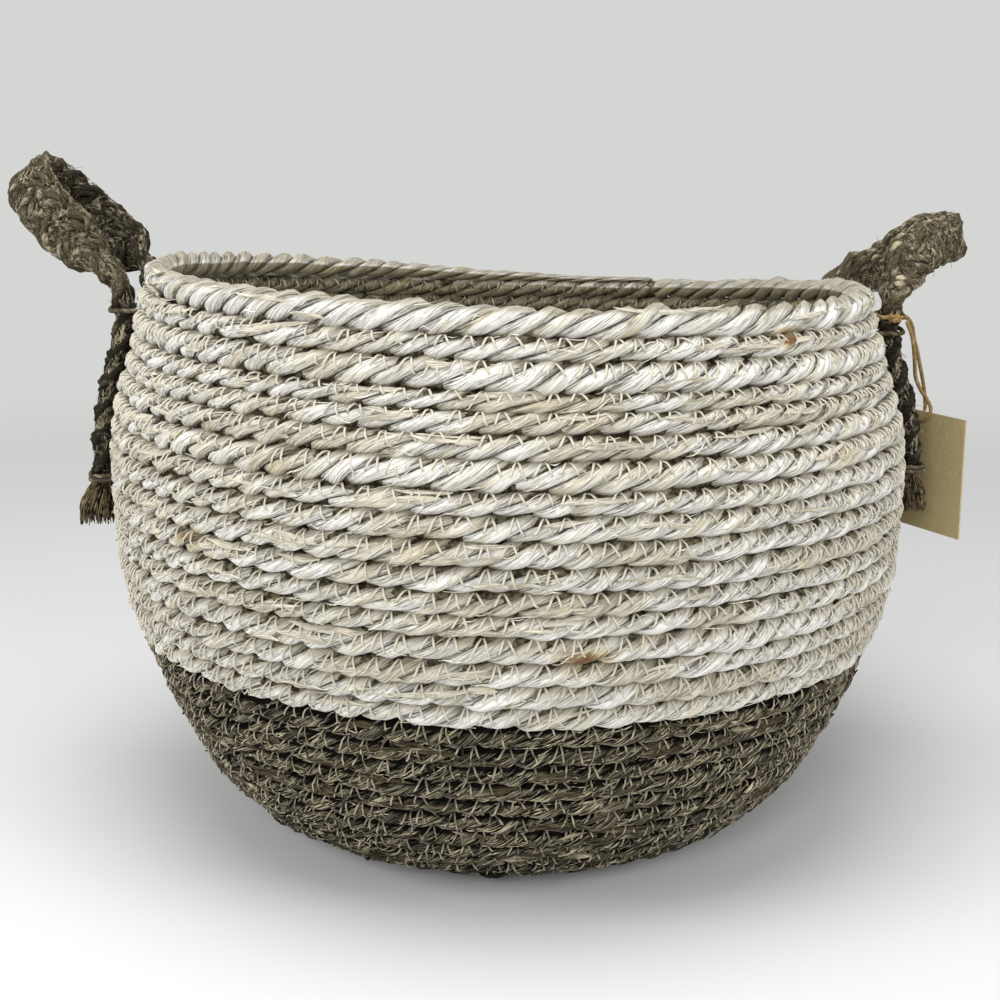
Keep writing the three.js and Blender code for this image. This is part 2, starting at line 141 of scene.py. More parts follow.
# Stitches
STITCH = 9.4
THREAD = 0.5
DARK_THREAD = 0.84
STITCH_FEET = (-14, 18)
STITCH_SKEW = 0.12
STITCH_DRIFT = 1.9
STITCH_UNEVEN = 0.2
FACE_STEP = 3

# Loose slivers: shares of their width, and how long, steep and curled they are
SLIVER_TAPER = np.array([0.6, 1, 1, 0.9, 0.6, 0.25])
SLIVER_SHORTEST = 3
SLIVER_GAIN = 11
SLIVER_SLOPE = 9
SLIVER_ANGLES = (-60, 80)
SLIVER_CURL = 10

# Flat slivers, in millimetres and degrees
STRIP_LENGTHS = (10, 34)
STRIP_WIDTHS = (0.7, 2.0)
STRIP_ANGLES = (-30, 50)
STRIP_SLOPES = (-1, 2.4)
STRIP_LIFT = 1.8
STRIP_THICKNESS = 0.22

# Handle straps
STRAP_WIDTH = 28
TAIL_WIDTH = 26
STRAP_THICKNESS = 9
PINCHED_WIDTH = 21
STRAP_GAP = 0.3
HINGE_GAP = 0.7
HINGE_STANDOFF = 7.6
TWIST_START = 2
FAR_TWIST_SHARE = 0.22
TOP_LASHING_DROP = 13
END_LASHING_HEIGHT = 170
LASHING_TWINE = 1.0
LASHING_PITCH = 1.9
LASHING_SHAPE = [(-10.6, -8), (-11.6, -3), (-12.1, 1), (-11.3, 4.6), (-8, 6.0), (0, 6.2)]
TASSEL_LENGTH = 20
TASSEL_FIBRES = 300
TASSEL_TAPER = np.array([1, 1, 1, 0.95, 0.9, 0.8, 0.55])
TAIL_STOPS = 10
TAIL_POINTS = 400
TAIL_END = 1.7
STRAP_STEP = 0.5
STRAP_STOPS = 12
LOOP_END = 3

# Plait of each strap, its yarns and its fibres
PLAIT = 40
PLAIT_SWAY = 9.1
PLAIT_DEPTH = 2.4
PLAIT_YARNS = 5
YARN = 1.55
YARN_ROLL = 70
YARN_STEP = 3
TAIL_SHADE = (-2, 14)
FAR_SHADE = (0.42, 0.6)
HAIR_TAPER = np.array([0.6, 1, 1, 1, 0.8, 0.4])
HAIRS_A_MILLIMETRE = 8
BOLD_HAIRS = 0.045

# Each handle: angles in degrees and lengths in millimetres. The near leg is the one in front
HANDLES = {
    "left": dict(
        azimuth=178, near=1, leg_angle=9.5, hinge=263.5, lean=49, tip_lean=42,
        reach=73, tip=0.86, width=28, near_sway=(0, 0), far_sway=(0, 0), near_twist=0.6,
        near_shade=0.3, far_shade=0.85, fray=1.0,
    ),
    "right": dict(
        azimuth=9, near=-1, leg_angle=13.5, hinge=254, lean=38, tip_lean=84,
        reach=60, tip=0.55, width=25, near_sway=(-7, 6), far_sway=(6, -11), near_twist=0.22,
        near_shade=0, far_shade=0, fray=0.55,
    ),
}

# Tag string
STRING = 2
STRING_POINTS = 170
STRING_SHARE = 0.47
STRING_LAY = 5.5
STRING_GAP = 0.45
STRING_LOOP_HEIGHT = 246.4
KNOT_WIDTH = 6.4
KNOT_SCALE = 0.78
STRING_ROUTE = [
    (185.75, -32.4, 245.0), (188.8, -30.4, 238.6), (190.8, -26.6, 233.4), (193.0, -20.8, 227.4),
    (195.0, -14.8, 221.6), (197.2, -9.2, 215.2), (201.2, -4.4, 208.6), (205.2, -2.0, 203.4),
    (207.4, -1.4, 198.6), (206.2, -0.2, 194.2), (203.9, 3.4, 191.8), (202.0, 6.9, 191.7),
    (202.4, 9.2, 191.9), (204.2, 10.2, 192.2), (206.0, 11.1, 192.5), (207.9, 11.8, 196.2),
    (207.4, 11.0, 202.4), (205.4, 8.2, 210.4), (202.2, 3.2, 219.0), (198.6, -3.6, 227.4),
    (194.6, -11.6, 235.0), (191.6, -19.4, 241.2), (188.5, -25.9, 244.9), (185.75, -29.6, 247.2),
]


# Small tools for points
def unit(vectors):
    return vectors / np.linalg.norm(vectors, axis=-1, keepdims=True)


def ease(values, low, high):
    """Rises smoothly from 0 at low to 1 at high."""
    share = np.clip((np.asarray(values, float) - low) / (high - low), 0, 1)
    return share * share * (3 - 2 * share)


def drift(values, period, seed):
    """A value that wanders smoothly between -1 and 1."""
    knots = np.random.default_rng(seed).uniform(-1, 1, 4096)
    place = np.asarray(values, float) / period
    low = np.floor(place).astype(int)
    share = ease(place - low, 0, 1)
    return knots[low % 4096] * (1 - share) + knots[(low + 1) % 4096] * share


def wander(values, strength, period, seed):
    return strength * drift(values, period, seed)


def smooth_line(points, count):
    """Points close together on a smooth curve through the given ones."""
    ends = np.asarray(points, float)
    padded = np.vstack([2 * ends[0] - ends[1], ends, 2 * ends[-1] - ends[-2]])
    place = np.linspace(0, len(ends) - 1, count)
    low = np.minimum(place.astype(int), len(ends) - 2)
    share = (place - low)[:, None]
    p0, p1, p2, p3 = (padded[low + k] for k in range(4))
    d0, d1, d2 = (np.sqrt(np.linalg.norm(b - a, axis=1))[:, None] for a, b in ((p0, p1), (p1, p2), (p2, p3)))
    start = ((p1 - p0) / d0 - (p2 - p0) / (d0 + d1) + (p2 - p1) / d1) * d1
    end = ((p2 - p1) / d1 - (p3 - p1) / (d1 + d2) + (p3 - p2) / d2) * d1
    square = share * share
    line = p1 + start * share + (3 * (p2 - p1) - 2 * start - end) * square
    return line + (2 * (p1 - p2) + start + end) * square * share


def lengths_along(line):
    return np.concatenate([[0], np.cumsum(np.linalg.norm(np.diff(line, axis=0), axis=1))])


def sampled(line, lengths, wanted):
    return np.stack([np.interp(wanted, lengths, column) for column in line.T], axis=-1)


def evenly(shape, count, step):
    """Points at even steps on a smooth curve through the given ones."""
    line = smooth_line(shape, count)
    lengths = lengths_along(line)
    return sampled(line, lengths, np.arange(0, lengths[-1], step))


def dot(first, second):
    return np.sum(first * second, axis=-1, keepdims=True)


def circle(sides, start=0.0):
    """Angles of the corners of a ring, in radians."""
    return np.arange(sides) / sides * 2 * math.pi + start


def placed(points, first, second, wide, tall):
    """Rings round the points: wide along the first directions and tall along the second ones."""
    return points[:, None] + first[:, None] * wide[..., None] + second[:, None] * tall[..., None]


# Meshes
def link(name, data):
    piece = bpy.data.objects.new(name, data)
    bpy.context.scene.collection.objects.link(piece)
    return piece


def read_places(mesh):
    places = np.empty(len(mesh.vertices) * 3, np.float32)
    mesh.vertices.foreach_get("co", places)
    return places.reshape(-1, 3)


def swept(name, rings, **marks):
    """A closed tube through rings of points in millimetres. Marks are values kept on the points."""
    count, sides = rings.shape[:2]
    shape = bmesh.new()
    bmesh.ops.create_grid(shape, x_segments=count - 1, y_segments=sides, size=1)
    mesh = bpy.data.meshes.new(name)
    shape.to_mesh(mesh)
    sheet = (read_places(mesh).astype(float) + 1) / 2
    angle = np.rint(sheet[:, 1] * sides) * 2 * math.pi / sides
    rolled = np.stack([np.cos(angle), np.sin(angle), np.rint(sheet[:, 0] * (count - 1))], axis=-1)
    mesh.vertices.foreach_set("co", rolled.astype(np.float32).ravel())
    shape.clear()
    shape.from_mesh(mesh)
    bmesh.ops.remove_doubles(shape, verts=shape.verts[:], dist=0.001)
    bmesh.ops.holes_fill(shape, edges=shape.edges[:], sides=0)
    bmesh.ops.recalc_face_normals(shape, faces=shape.faces[:])
    shape.to_mesh(mesh)
    shape.free()
    places = read_places(mesh)
    ring = np.rint(places[:, 2]).astype(int)
    around = np.arctan2(places[:, 1], places[:, 0])
    side = np.rint(around * sides / (2 * math.pi)).astype(int) % sides
    mesh.vertices.foreach_set("co", (rings[ring, side] * MM).astype(np.float32).ravel())
    for mark, values in marks.items():
        kind = "FLOAT" if values.ndim == 2 else "FLOAT_VECTOR"
        kept = mesh.attributes.new(mark, kind, "POINT")
        field = "value" if values.ndim == 2 else "vector"
        kept.data.foreach_set(field, values[ring, side].astype(np.float32).ravel())
    mesh.shade_smooth()
    mesh.update()
    return link(name, mesh)


def tube_rings(points, normals, radius, sides, relief=0.0, lay=6.0):
    """Rings of a round or two-ply thread along points, with marks that run along and round it."""
    along = lengths_along(points)
    heading = unit(np.gradient(points, axis=0))
    first = unit(normals - dot(normals, heading) * heading)
    second = np.cross(heading, first)
    turn = circle(sides, math.pi / 2)
    inside = turn[None, :] - along[:, None] * 2 * math.pi / lay
    size = np.asarray(radius) * np.ones(len(points))
    reach = size[:, None] * (1 + relief * np.cos(2 * inside))
    rings = placed(points, first, second, reach * np.cos(turn), reach * np.sin(turn))
    lay_mark = np.stack([along[:, None] + 0 * inside, np.cos(inside), np.sin(inside)], axis=-1)
    return rings, lay_mark


def strands(name, lines, radius, resolution=0):
    """Many thin fibres in one mesh. Lines are one block of points of even count, in millimetres."""
    curve = bpy.data.curves.new(name, "CURVE")
    curve.dimensions = "3D"
    curve.bevel_depth = MM
    curve.bevel_resolution = resolution
    count, points = lines.shape[:2]
    size = np.broadcast_to(radius, (count, points))
    for line, widths in zip(lines, size):
        spline = curve.splines.new("POLY")
        spline.points.add(points - 1)
        places = np.ones((points, 4))
        places[:, :3] = line * MM
        spline.points.foreach_set("co", places.ravel())
        spline.points.foreach_set("radius", np.ascontiguousarray(widths, float))
    drawn = link(name + "_line", curve)
    graph = bpy.context.evaluated_depsgraph_get()
    mesh = bpy.data.meshes.new_from_object(drawn.evaluated_get(graph))
    mesh.name = name
    bpy.data.objects.remove(drawn)
    bpy.data.curves.remove(curve)
    mesh.shade_smooth()
    return link(name, mesh)


# Wall: where the rope runs
wall_line = smooth_line(WALL_POINTS, LINE_POINTS)
wall_lengths = lengths_along(wall_line)
wall_rise = unit(np.gradient(wall_line, wall_lengths, axis=0))
rope_corner = (PITCH - ROW_GAP) / math.sqrt(3)


def rim_half(turn):
    grow = ease(turn - WALL_ROWS, 0, RIM_GROW)
    fade = ease(turn - WALL_ROWS, RIM_FADE, 1)
    full = PITCH / 2 + (RIM_ROPE - PITCH) / 2 * grow
    return full + (TAIL_HALF - full) * fade


def seam_shift(turn):
    """How far the seam above a row strays, at its turn plus a half."""
    count = len(FRONT_SEAM_SHIFTS)
    front = WALL_ROWS - 1 - np.arange(count) + FRONT_SEAM
    rest = np.arange(1, WALL_ROWS - count) + FRONT_SEAM
    backs = np.arange(1, WALL_ROWS) + BACK_SEAM
    random = np.random.default_rng(3)
    knots = np.concatenate([front, rest, backs, [0.9, WALL_ROWS]])
    shifts = np.concatenate([
        FRONT_SEAM_SHIFTS,
        random.uniform(-LOW_SEAM_SHIFT, LOW_SEAM_SHIFT, len(rest)),
        random.uniform(-BACK_SEAM_SHIFT, BACK_SEAM_SHIFT, len(backs)),
        [0, 0],
    ])
    order = np.argsort(knots)
    return np.interp(turn, knots[order], shifts[order], left=0, right=0)


def row_place(turn):
    """Centre, outward and upward directions as radius and height, and half the row's height."""
    turn = np.asarray(turn, float)
    above, below = seam_shift(turn + 0.5), seam_shift(turn - 0.5)
    rim = turn > WALL_ROWS
    above = np.where(rim, 0, above)
    half = np.where(rim, rim_half(turn), PITCH / 2 + (above - below) / 2)
    even = np.where(rim, (turn - 1) * PITCH + PITCH / 2 + rim_half(turn), turn * PITCH)
    length = np.clip(even + (above + below) / 2 * ~rim, 0, wall_lengths[-1])
    centre = sampled(wall_line, wall_lengths, length)
    up = sampled(wall_rise, wall_lengths, length)
    first, rise = wall_line[0], wall_rise[0]
    share = ease(turn, -1, 0)
    base_centre = np.stack([first[0] + PITCH * turn, BASE_HEIGHT + (first[1] - BASE_HEIGHT) * share], -1)
    tilt = math.atan2(rise[1], rise[0]) * share
    base_up = np.stack([np.cos(tilt), np.sin(tilt)], -1)
    in_base = (turn < 0)[..., None]
    centre = np.where(in_base, base_centre, centre)
    up = unit(np.where(in_base, base_up, up))
    out = np.stack([up[..., 1], -up[..., 0]], -1)
    return centre, out, up, half


def leaned(points):
    """The wall is higher at the left than at the right and sags at the back. The base stays on the floor."""
    points = points.copy()
    points[..., 2] = np.maximum(points[..., 2], 0)
    share = points[..., 2] / LEAN_HEIGHT
    points[..., 2] -= HAND_LEAN * points[..., 0] * share * share
    points[..., 2] -= BACK_SAG * share * np.clip(points[..., 1] / BACK_DEPTH, 0, 1) ** BACK_CURVE
    return points


def turned(radius, azimuth, height):
    angle = np.radians(azimuth)
    return np.stack([radius * np.cos(angle), radius * np.sin(angle), height + 0 * radius], -1)


def ways_at(azimuth):
    """Directions out of the basket and sideways."""
    return turned(1.0, azimuth, 0), turned(1.0, azimuth + 90, 0)


def azimuth_of(turn):
    return SEAM_AZIMUTH - 360 * turn


def in_basket(turn, place):
    """Points from their turn of the rope, with their distance from the axis and height as one pair."""
    return leaned(turned(place[..., 0], azimuth_of(turn), place[..., 1]))


rope_turns = np.linspace(-BASE_TURNS, WALL_ROWS + 1, 15 * LINE_POINTS)
rope_centres = row_place(rope_turns)[0]
rope_lengths = lengths_along(turned(rope_centres[:, 0], azimuth_of(rope_turns), rope_centres[:, 1]))


def length_at(turn):
    return np.interp(turn, rope_turns, rope_lengths)


def turn_at(length):
    return np.interp(length, rope_lengths, rope_turns)


def row_depth(turn, half):
    depth = BASE_DEPTH + (ROPE_DEPTH - BASE_DEPTH) * ease(turn, -1, 1)
    return depth * (1 + DEPTH_SHARE * (half / (PITCH / 2) - 1))


def on_row(turn, angle, reach):
    """Points round a row: angle 0 faces out of the basket, and 90 faces the next row."""
    centre, out, up, half = row_place(turn)
    wide = (row_depth(turn, half) + reach) * np.cos(np.radians(angle))
    tall = (half + reach) * np.sin(np.radians(angle))
    return in_basket(turn, centre + out * wide[..., None] + up * tall[..., None])


def faced(turn, angle, reach):
    """Points round a row in one list, and the direction that each faces."""
    points = on_row(turn, angle, reach).reshape(-1, 3)
    return points, unit(points - on_row(turn, angle, reach - FACE_STEP).reshape(-1, 3))


def row_relief(angle, share):
    """How far a row's face stands out beyond its oval, in millimetres."""
    steep = np.degrees(np.arcsin(np.sin(angle)))
    sag = SAG * np.exp(-(((steep - SAG_ANGLE) / SAG_SPREAD) ** 2))
    drawn = DRAWN * np.exp(-(((steep - DRAWN_ANGLE) / DRAWN_SPREAD) ** 2))
    return (sag - drawn) * ease(np.cos(angle), 0, RELIEF_EDGE) * share


def per_ply(lengths, strength, period, seed):
    """A drift of its own for each ply."""
    return np.stack([wander(lengths, strength, period, seed + ply) for ply in range(PLIES)], -1)


def rope(name, first, last):
    """Three twisted plies of leaf, as one closed piece of the long rope."""
    start, stop = length_at(first), length_at(last)
    lengths = np.arange(math.ceil(start / ROPE_STEP), math.floor(stop / ROPE_STEP) + 1) * ROPE_STEP
    turns = turn_at(lengths)
    centre, out, up, half = row_place(turns)
    ply = np.repeat(np.arange(PLIES), len(PLY_ANGLES))
    local = np.tile(PLY_ANGLES, PLIES)
    shape = np.tile(PLY_SHAPE, PLIES)
    round_ply = np.radians(local + PLY_TURN * ply)
    on_rim = np.maximum(lengths - length_at(WALL_ROWS), 0)
    lays = lengths / WALL_LAY + on_rim * (1 / RIM_LAY - 1 / WALL_LAY)
    twist = 360 * (lays + wander(lengths, *SLOW_TWIST) + wander(lengths, *QUICK_TWIST))
    angle = np.radians(ply * PLY_TURN + local - twist[:, None])
    loose = ease(wander(lengths, *LOOSE), *LOOSE_RANGE) * (turns < WALL_ROWS)
    lobes = SWELL_SIZE * (per_ply(lengths, *SWELL) + per_ply(lengths, *SMALL_SWELL))
    lobes = lobes + LUMP_SIZE * per_ply(lengths, *LUMP)
    folds = np.stack([drift(lengths, 8 + column % 4, 201 + column) for column in range(len(ply))], -1)
    size = shape * (1 + lobes[:, ply] + (FOLD_SIZE + LOOSE_FOLD_SIZE * loose)[:, None] * folds)
    sewn = ease(turns, -1, 1) * (1 - ease(turns, WALL_ROWS - 0.2, WALL_ROWS))
    wide = np.cos(angle) * size * row_depth(turns, half)[:, None] + row_relief(angle, sewn[:, None])
    steep = np.arcsin(np.sin(angle)) * 2 / math.pi
    tall = (np.sin(angle) * (1 - FLATNESS) + steep * FLATNESS) * size * half[:, None] * ROW_OVERLAP
    wide = wide + wander(lengths, *WIDE_DRIFT)[:, None]
    tall = tall + wander(lengths, *TALL_DRIFT)[:, None]
    place = placed(centre, out, up, wide, tall)
    tuck = np.ones(len(lengths))
    tuck[[0, -1]] = 0.5
    place = centre[:, None] + (place - centre[:, None]) * tuck[:, None, None]
    rings = in_basket(turns[:, None], place)
    lay_mark = np.stack([
        lengths[:, None] + 0 * angle,
        LAY_WIDTH * np.cos(round_ply) * shape + 0 * angle,
        LAY_WIDTH * np.sin(round_ply) * shape + 0 * angle,
    ], axis=-1)
    groove = np.broadcast_to(np.abs(local) / (PLY_TURN / 2), angle.shape)
    top = ease(turns, WALL_ROWS - 1 + RIM_FADE, WALL_ROWS)[:, None]
    facing = np.cos(angle) + top * (TOP_FACING + TOP_FACING_GAIN * np.clip(np.sin(angle), 0, 1))
    stain = np.zeros(angle.shape)
    for point, spread, depth in STAINS:
        away = np.linalg.norm((rings - point) * STAIN_SQUASH, axis=-1) / spread
        stain = np.maximum(stain, depth * np.exp(-away * away))
    # Low is painted shade on the rope near the floor, darkest at the foot of the wall
    low, straw = 1 - ease(rings[..., 2], *FLOOR_SHADE_HEIGHTS), loose[:, None] + 0 * angle
    tint, upward = per_ply(lengths, *TINT)[:, ply], np.sin(angle)
    return swept(
        name, rings, lay=lay_mark, tint=tint, groove=groove, facing=facing, upward=upward, stain=stain,
        straw=straw, low=low,
    )


def rope_core(name, first, last):
    """The plain core inside the plies of each row, which closes the gaps between their lobes."""
    turns = turn_at(np.arange(length_at(first), length_at(last), CORE_STEP))
    centre, out, up, half = row_place(turns)
    angle = circle(6, math.pi / 2)
    wide = np.cos(angle) * CORE_DEPTH + 0 * half[:, None]
    height = half * np.where(turns > WALL_ROWS, CORE_ON_RIM, ROW_OVERLAP)
    place = placed(centre, out, up, wide, np.sin(angle) * height[:, None])
    return swept(name, in_basket(turns[:, None], place))


# A stitch from foot to foot: shares of its length, angles on the row and heights over the row's oval
STITCH_SHARES = np.array([0.0, 0.15, 0.21, 0.28, 0.37, 0.45, 0.5, 0.55, 0.63, 0.72, 0.79, 0.85])
STITCH_ANGLES = np.array([-12, -8, 0, 16, 42, 66, 80, 66, 42, 16, 0, -8])
STITCH_HEIGHTS = np.array([-3, -0.4, 0.8, 1.0, 0.75, 0.1, -1.4, 0.1, 0.75, 1.0, 0.8, -0.4])


def stitching(name, first, last, inside, seed, uneven):
    """Thread over the seam between each row and the next, in the shape of a V on its head."""
    start, stop = length_at(first), length_at(last)
    count = int((stop - start) / STITCH)
    random = np.random.default_rng(seed)
    foot = random.uniform(*STITCH_FEET, count)[:, None] * uneven
    skew = random.uniform(-STITCH_SKEW, STITCH_SKEW, (count, 1)) * uneven
    share = STITCH_SHARES + skew * np.sin(math.pi * STITCH_SHARES) ** 2
    lengths = start + (np.arange(count)[:, None] + share) * STITCH
    lengths = lengths + STITCH_DRIFT * drift(lengths, STITCH * 1.7, seed + 1)
    angle = STITCH_ANGLES + foot * np.cos(np.radians(STITCH_ANGLES)) ** 2
    angle = np.where(inside, 180 - angle, angle)
    height = STITCH_HEIGHTS + random.uniform(-STITCH_UNEVEN, STITCH_UNEVEN, (count, len(STITCH_SHARES)))
    turns = turn_at(lengths)
    points, outward = faced(turns, angle, height)
    above = ease(turns.reshape(-1), DARK_ROWS - 0.01, DARK_ROWS + 0.01)
    thick = THREAD * (DARK_THREAD + (1 - DARK_THREAD) * above)
    rings, lay_mark = tube_rings(points, outward, thick, 3 if inside else 4)
    white = above[:, None] * (not inside) + 0 * rings[..., 0]
    # Painted shade on the thread where it runs deep under the row above
    sunk = ease(-height.reshape(-1), -0.3, 1.6)[:, None] + 0 * white
    return swept(name, rings, lay=lay_mark, white=white, sunk=sunk)


def loose_leaf(name, first, last, count, seed, thick, lift):
    """Slivers of leaf and fibres that follow the plies and come loose at one end."""
    random = np.random.default_rng(seed)
    draw = partial(random.uniform, size=(count, 1))
    steps = np.linspace(0, 1, len(SLIVER_TAPER))
    at = draw(length_at(first), length_at(last))
    length = draw(-1, 1)
    length = np.sign(length) * (SLIVER_SHORTEST + SLIVER_GAIN * np.abs(length))
    slope = -draw(0, SLIVER_SLOPE)
    angle = draw(*SLIVER_ANGLES) + slope * length * (steps - 0.5)
    angle = angle + SLIVER_CURL * np.sin(steps * 5 + draw(0, 6))
    loose = draw(*lift) * draw(0.1, 1) ** 2
    reach = 0.15 + loose * steps ** 2 + 0.6 * row_relief(np.radians(angle), 1)
    lines = on_row(turn_at(at + length * steps), angle, reach)
    return strands(name, lines, draw(*thick) * SLIVER_TAPER)


def leaf_strips(name, first, last, count, seed):
    """Broad flat slivers of leaf that lie over the plies, with their ends a little off the rope."""
    random = np.random.default_rng(seed)
    turn = circle(8, math.pi / 8)
    steps = np.linspace(-0.5, 0.5, 11)
    from_middle = 2 * np.abs(steps)
    strips = []
    for strip in range(count):
        length = random.uniform(*STRIP_LENGTHS)
        along = random.uniform(length_at(first), length_at(last)) + steps * length
        angle = random.uniform(*STRIP_ANGLES) - random.uniform(*STRIP_SLOPES) * steps * length
        angle = angle + wander(along, 7, 9, seed + strip)
        lift = random.uniform(0, STRIP_LIFT) * from_middle ** 3
        reach = 0.5 + lift + wander(along, 0.6, 6, seed + strip + 500)
        points, outward = faced(turn_at(along), angle, reach)
        across = np.cross(unit(np.gradient(points, axis=0)), outward)
        half = random.uniform(*STRIP_WIDTHS) * (1 - from_middle ** 2.6) + 0.15
        roll = wander(along, 0.8, 7, seed + strip + 900)
        side = across * np.cos(roll)[:, None] + outward * np.sin(roll)[:, None]
        wide = half[:, None] * np.cos(turn)
        rings = placed(points, side, outward, wide, STRIP_THICKNESS * np.sin(turn))
        lay = np.stack([along[:, None] + 0 * turn, wide, strip * 3 + 0 * wide], -1)
        strips.append((rings, lay))
    return joined(name, strips)


# Handles: the path of each strap, from the end of one tail over the loop to the end of the other
chord_ease = 2 / (1 + math.cos(math.pi / 24))
outer_line = wall_line * (chord_ease, 1) + np.stack([wall_rise[:, 1], -wall_rise[:, 0]], -1) * rope_corner


def outside_radius(azimuth, height):
    """Distance from the axis to the outside of the leaned wall."""
    upright = height
    for _ in range(4):
        radius = np.interp(upright, outer_line[:, 1], outer_line[:, 0])
        upright += height - leaned(turned(radius, azimuth, upright))[2]
    return float(np.interp(upright, outer_line[:, 1], outer_line[:, 0]))


def groove_height(azimuth, height):
    """Height of the seam between two rows that is nearest to the given height."""
    turn = ((SEAM_AZIMUTH - azimuth) / 360) % 1
    lengths = (np.arange(WALL_ROWS) + turn + 0.5) * PITCH
    centre = sampled(wall_line, wall_lengths, lengths)
    heights = leaned(turned(centre[:, 0], azimuth, centre[:, 1]))[:, 2]
    return float(heights[np.argmin(np.abs(heights - height))])


def handle_frame(handle):
    """Outward and sideways directions, the hinge's middle, and how far its legs are from axis and middle."""
    outward = turned(1.0, handle["azimuth"], 0)
    along = np.array([-outward[1], outward[0], 0])
    leg = outside_radius(handle["azimuth"], handle["hinge"] - TOP_LASHING_DROP) + HINGE_STANDOFF
    spread = math.radians(handle["leg_angle"])
    hinge = outward * leg * math.cos(spread)
    hinge[2] = handle["hinge"]
    return outward, along, hinge, leg, leg * math.sin(spread)


def tail_path(handle, turn):
    """A tail from its top down: its centres and width, and the heights of its two lashings."""
    azimuth = handle["azimuth"] + turn * handle["leg_angle"]
    leg = handle_frame(handle)[3]
    lash = groove_height(azimuth, handle["hinge"] - TOP_LASHING_DROP)
    end = groove_height(azimuth, END_LASHING_HEIGHT)
    top = handle["hinge"] - STRAP_THICKNESS / 2 - HINGE_GAP
    heights = np.linspace(top, end - TAIL_END, TAIL_STOPS)
    hugging = np.array([outside_radius(azimuth, z) for z in heights]) + STRAP_GAP + STRAP_THICKNESS / 2
    radius = np.maximum(leg + (hugging - leg) * ease(np.arange(TAIL_STOPS), 0, 2), hugging)
    line = smooth_line(turned(radius, azimuth, heights), TAIL_POINTS)
    nearest = np.min([np.abs(line[:, 2] - z) for z in (lash, end, top)], axis=0)
    width = PINCHED_WIDTH + (TAIL_WIDTH - PINCHED_WIDTH) * ease(nearest, 1.9, TAIL_WIDTH / 2)
    return dict(line=line, width=width, azimuth=azimuth, lash=lash, end=end)


def loop_path(handle):
    """The loop from its first leg over the arch: centres, direction across the strap and width."""
    outward, along, hinge, _, spread = handle_frame(handle)
    reach = handle["reach"] - STRAP_THICKNESS / 2
    tip = handle["tip"]
    half = [(1, 0), (1.02, 0.2), (1, 0.45), (tip, 0.72), (tip / 2, 0.94)]
    arch = [(x * spread, y * reach) for x, y in half]
    arch = arch + [(0, reach)] + [(-x, y) for x, y in reversed(arch)]
    flat = smooth_line(arch, 800)
    lengths = lengths_along(flat)
    heading = unit(np.gradient(flat, axis=0))
    first, up = math.radians(handle["lean"]), np.array([0, 0, 1.0])
    change = (math.radians(handle["tip_lean"]) - first) / reach
    lean = first + change * flat[:, 1:2]
    rise = outward * np.sin(lean) + up * np.cos(lean)
    face = outward * np.cos(lean) - up * np.sin(lean)
    offset = outward * (math.cos(first) - np.cos(lean)) + up * (np.sin(lean) - math.sin(first))
    from_end = np.minimum(lengths, lengths[-1] - lengths)
    twist_share = np.where(flat[:, 0] * handle["near"] > 0, handle["near_twist"], FAR_TWIST_SHARE)
    twist_end = TWIST_START + twist_share * handle["reach"]
    turn = (1 - ease(from_end, TWIST_START, twist_end)) * math.pi / 2
    normal = along * heading[:, 1:2] - rise * heading[:, 0:1]
    across = face * np.cos(turn)[:, None] + normal * np.sin(turn)[:, None]
    width = PINCHED_WIDTH + (handle["width"] - PINCHED_WIDTH) * ease(from_end, 0, twist_end / 2)
    line = hinge + along * flat[:, 0:1] + offset / change
    near = np.clip(0.5 + 0.5 * handle["near"] * flat[:, 0:1] / spread, 0, 1)
    bow = np.sin(math.pi * np.clip(flat[:, 1:2] / reach, 0, 1))
    line = line + (outward * handle["near_sway"][0] + up * handle["near_sway"][1]) * near * bow
    line = line + (outward * handle["far_sway"][0] + up * handle["far_sway"][1]) * (1 - near) * bow * bow
    return line, across, width, lengths


def tail_rows(tail, picks, way):
    sideways = way * ways_at(tail["azimuth"])[1]
    return np.hstack([tail["line"][picks], np.tile(sideways, (len(picks), 1)), tail["width"][picks, None]])


def strap_path(handle):
    """Centre line, lengths, directions across and through the strap, and width, every half millimetre."""
    loop, across, width, lengths = loop_path(handle)
    keep = np.linspace(LOOP_END, lengths[-1] - LOOP_END, max(8, int(lengths[-1] / 5)))
    picks = np.searchsorted(lengths, keep)
    tails = np.linspace(TAIL_POINTS - 1, 12, STRAP_STOPS).astype(int)
    stops = np.vstack([
        tail_rows(tail_path(handle, 1), tails, 1),
        np.hstack([loop[picks], across[picks], width[picks, None]]),
        tail_rows(tail_path(handle, -1), tails[::-1], -1),
    ])
    line, place = smooth_line(stops[:, :3], LINE_POINTS), np.linspace(0, len(stops) - 1, LINE_POINTS)
    lengths = lengths_along(line)
    even = np.arange(0, lengths[-1], STRAP_STEP)
    others = np.stack([np.interp(place, np.arange(len(stops)), column) for column in stops[:, 3:].T], -1)
    line, others = sampled(line, lengths, even), sampled(others, lengths, even)
    heading = unit(np.gradient(line, axis=0))
    across = unit(others[:, :3] - dot(others[:, :3], heading) * heading)
    return line, even, across, np.cross(across, heading), others[:, 3]


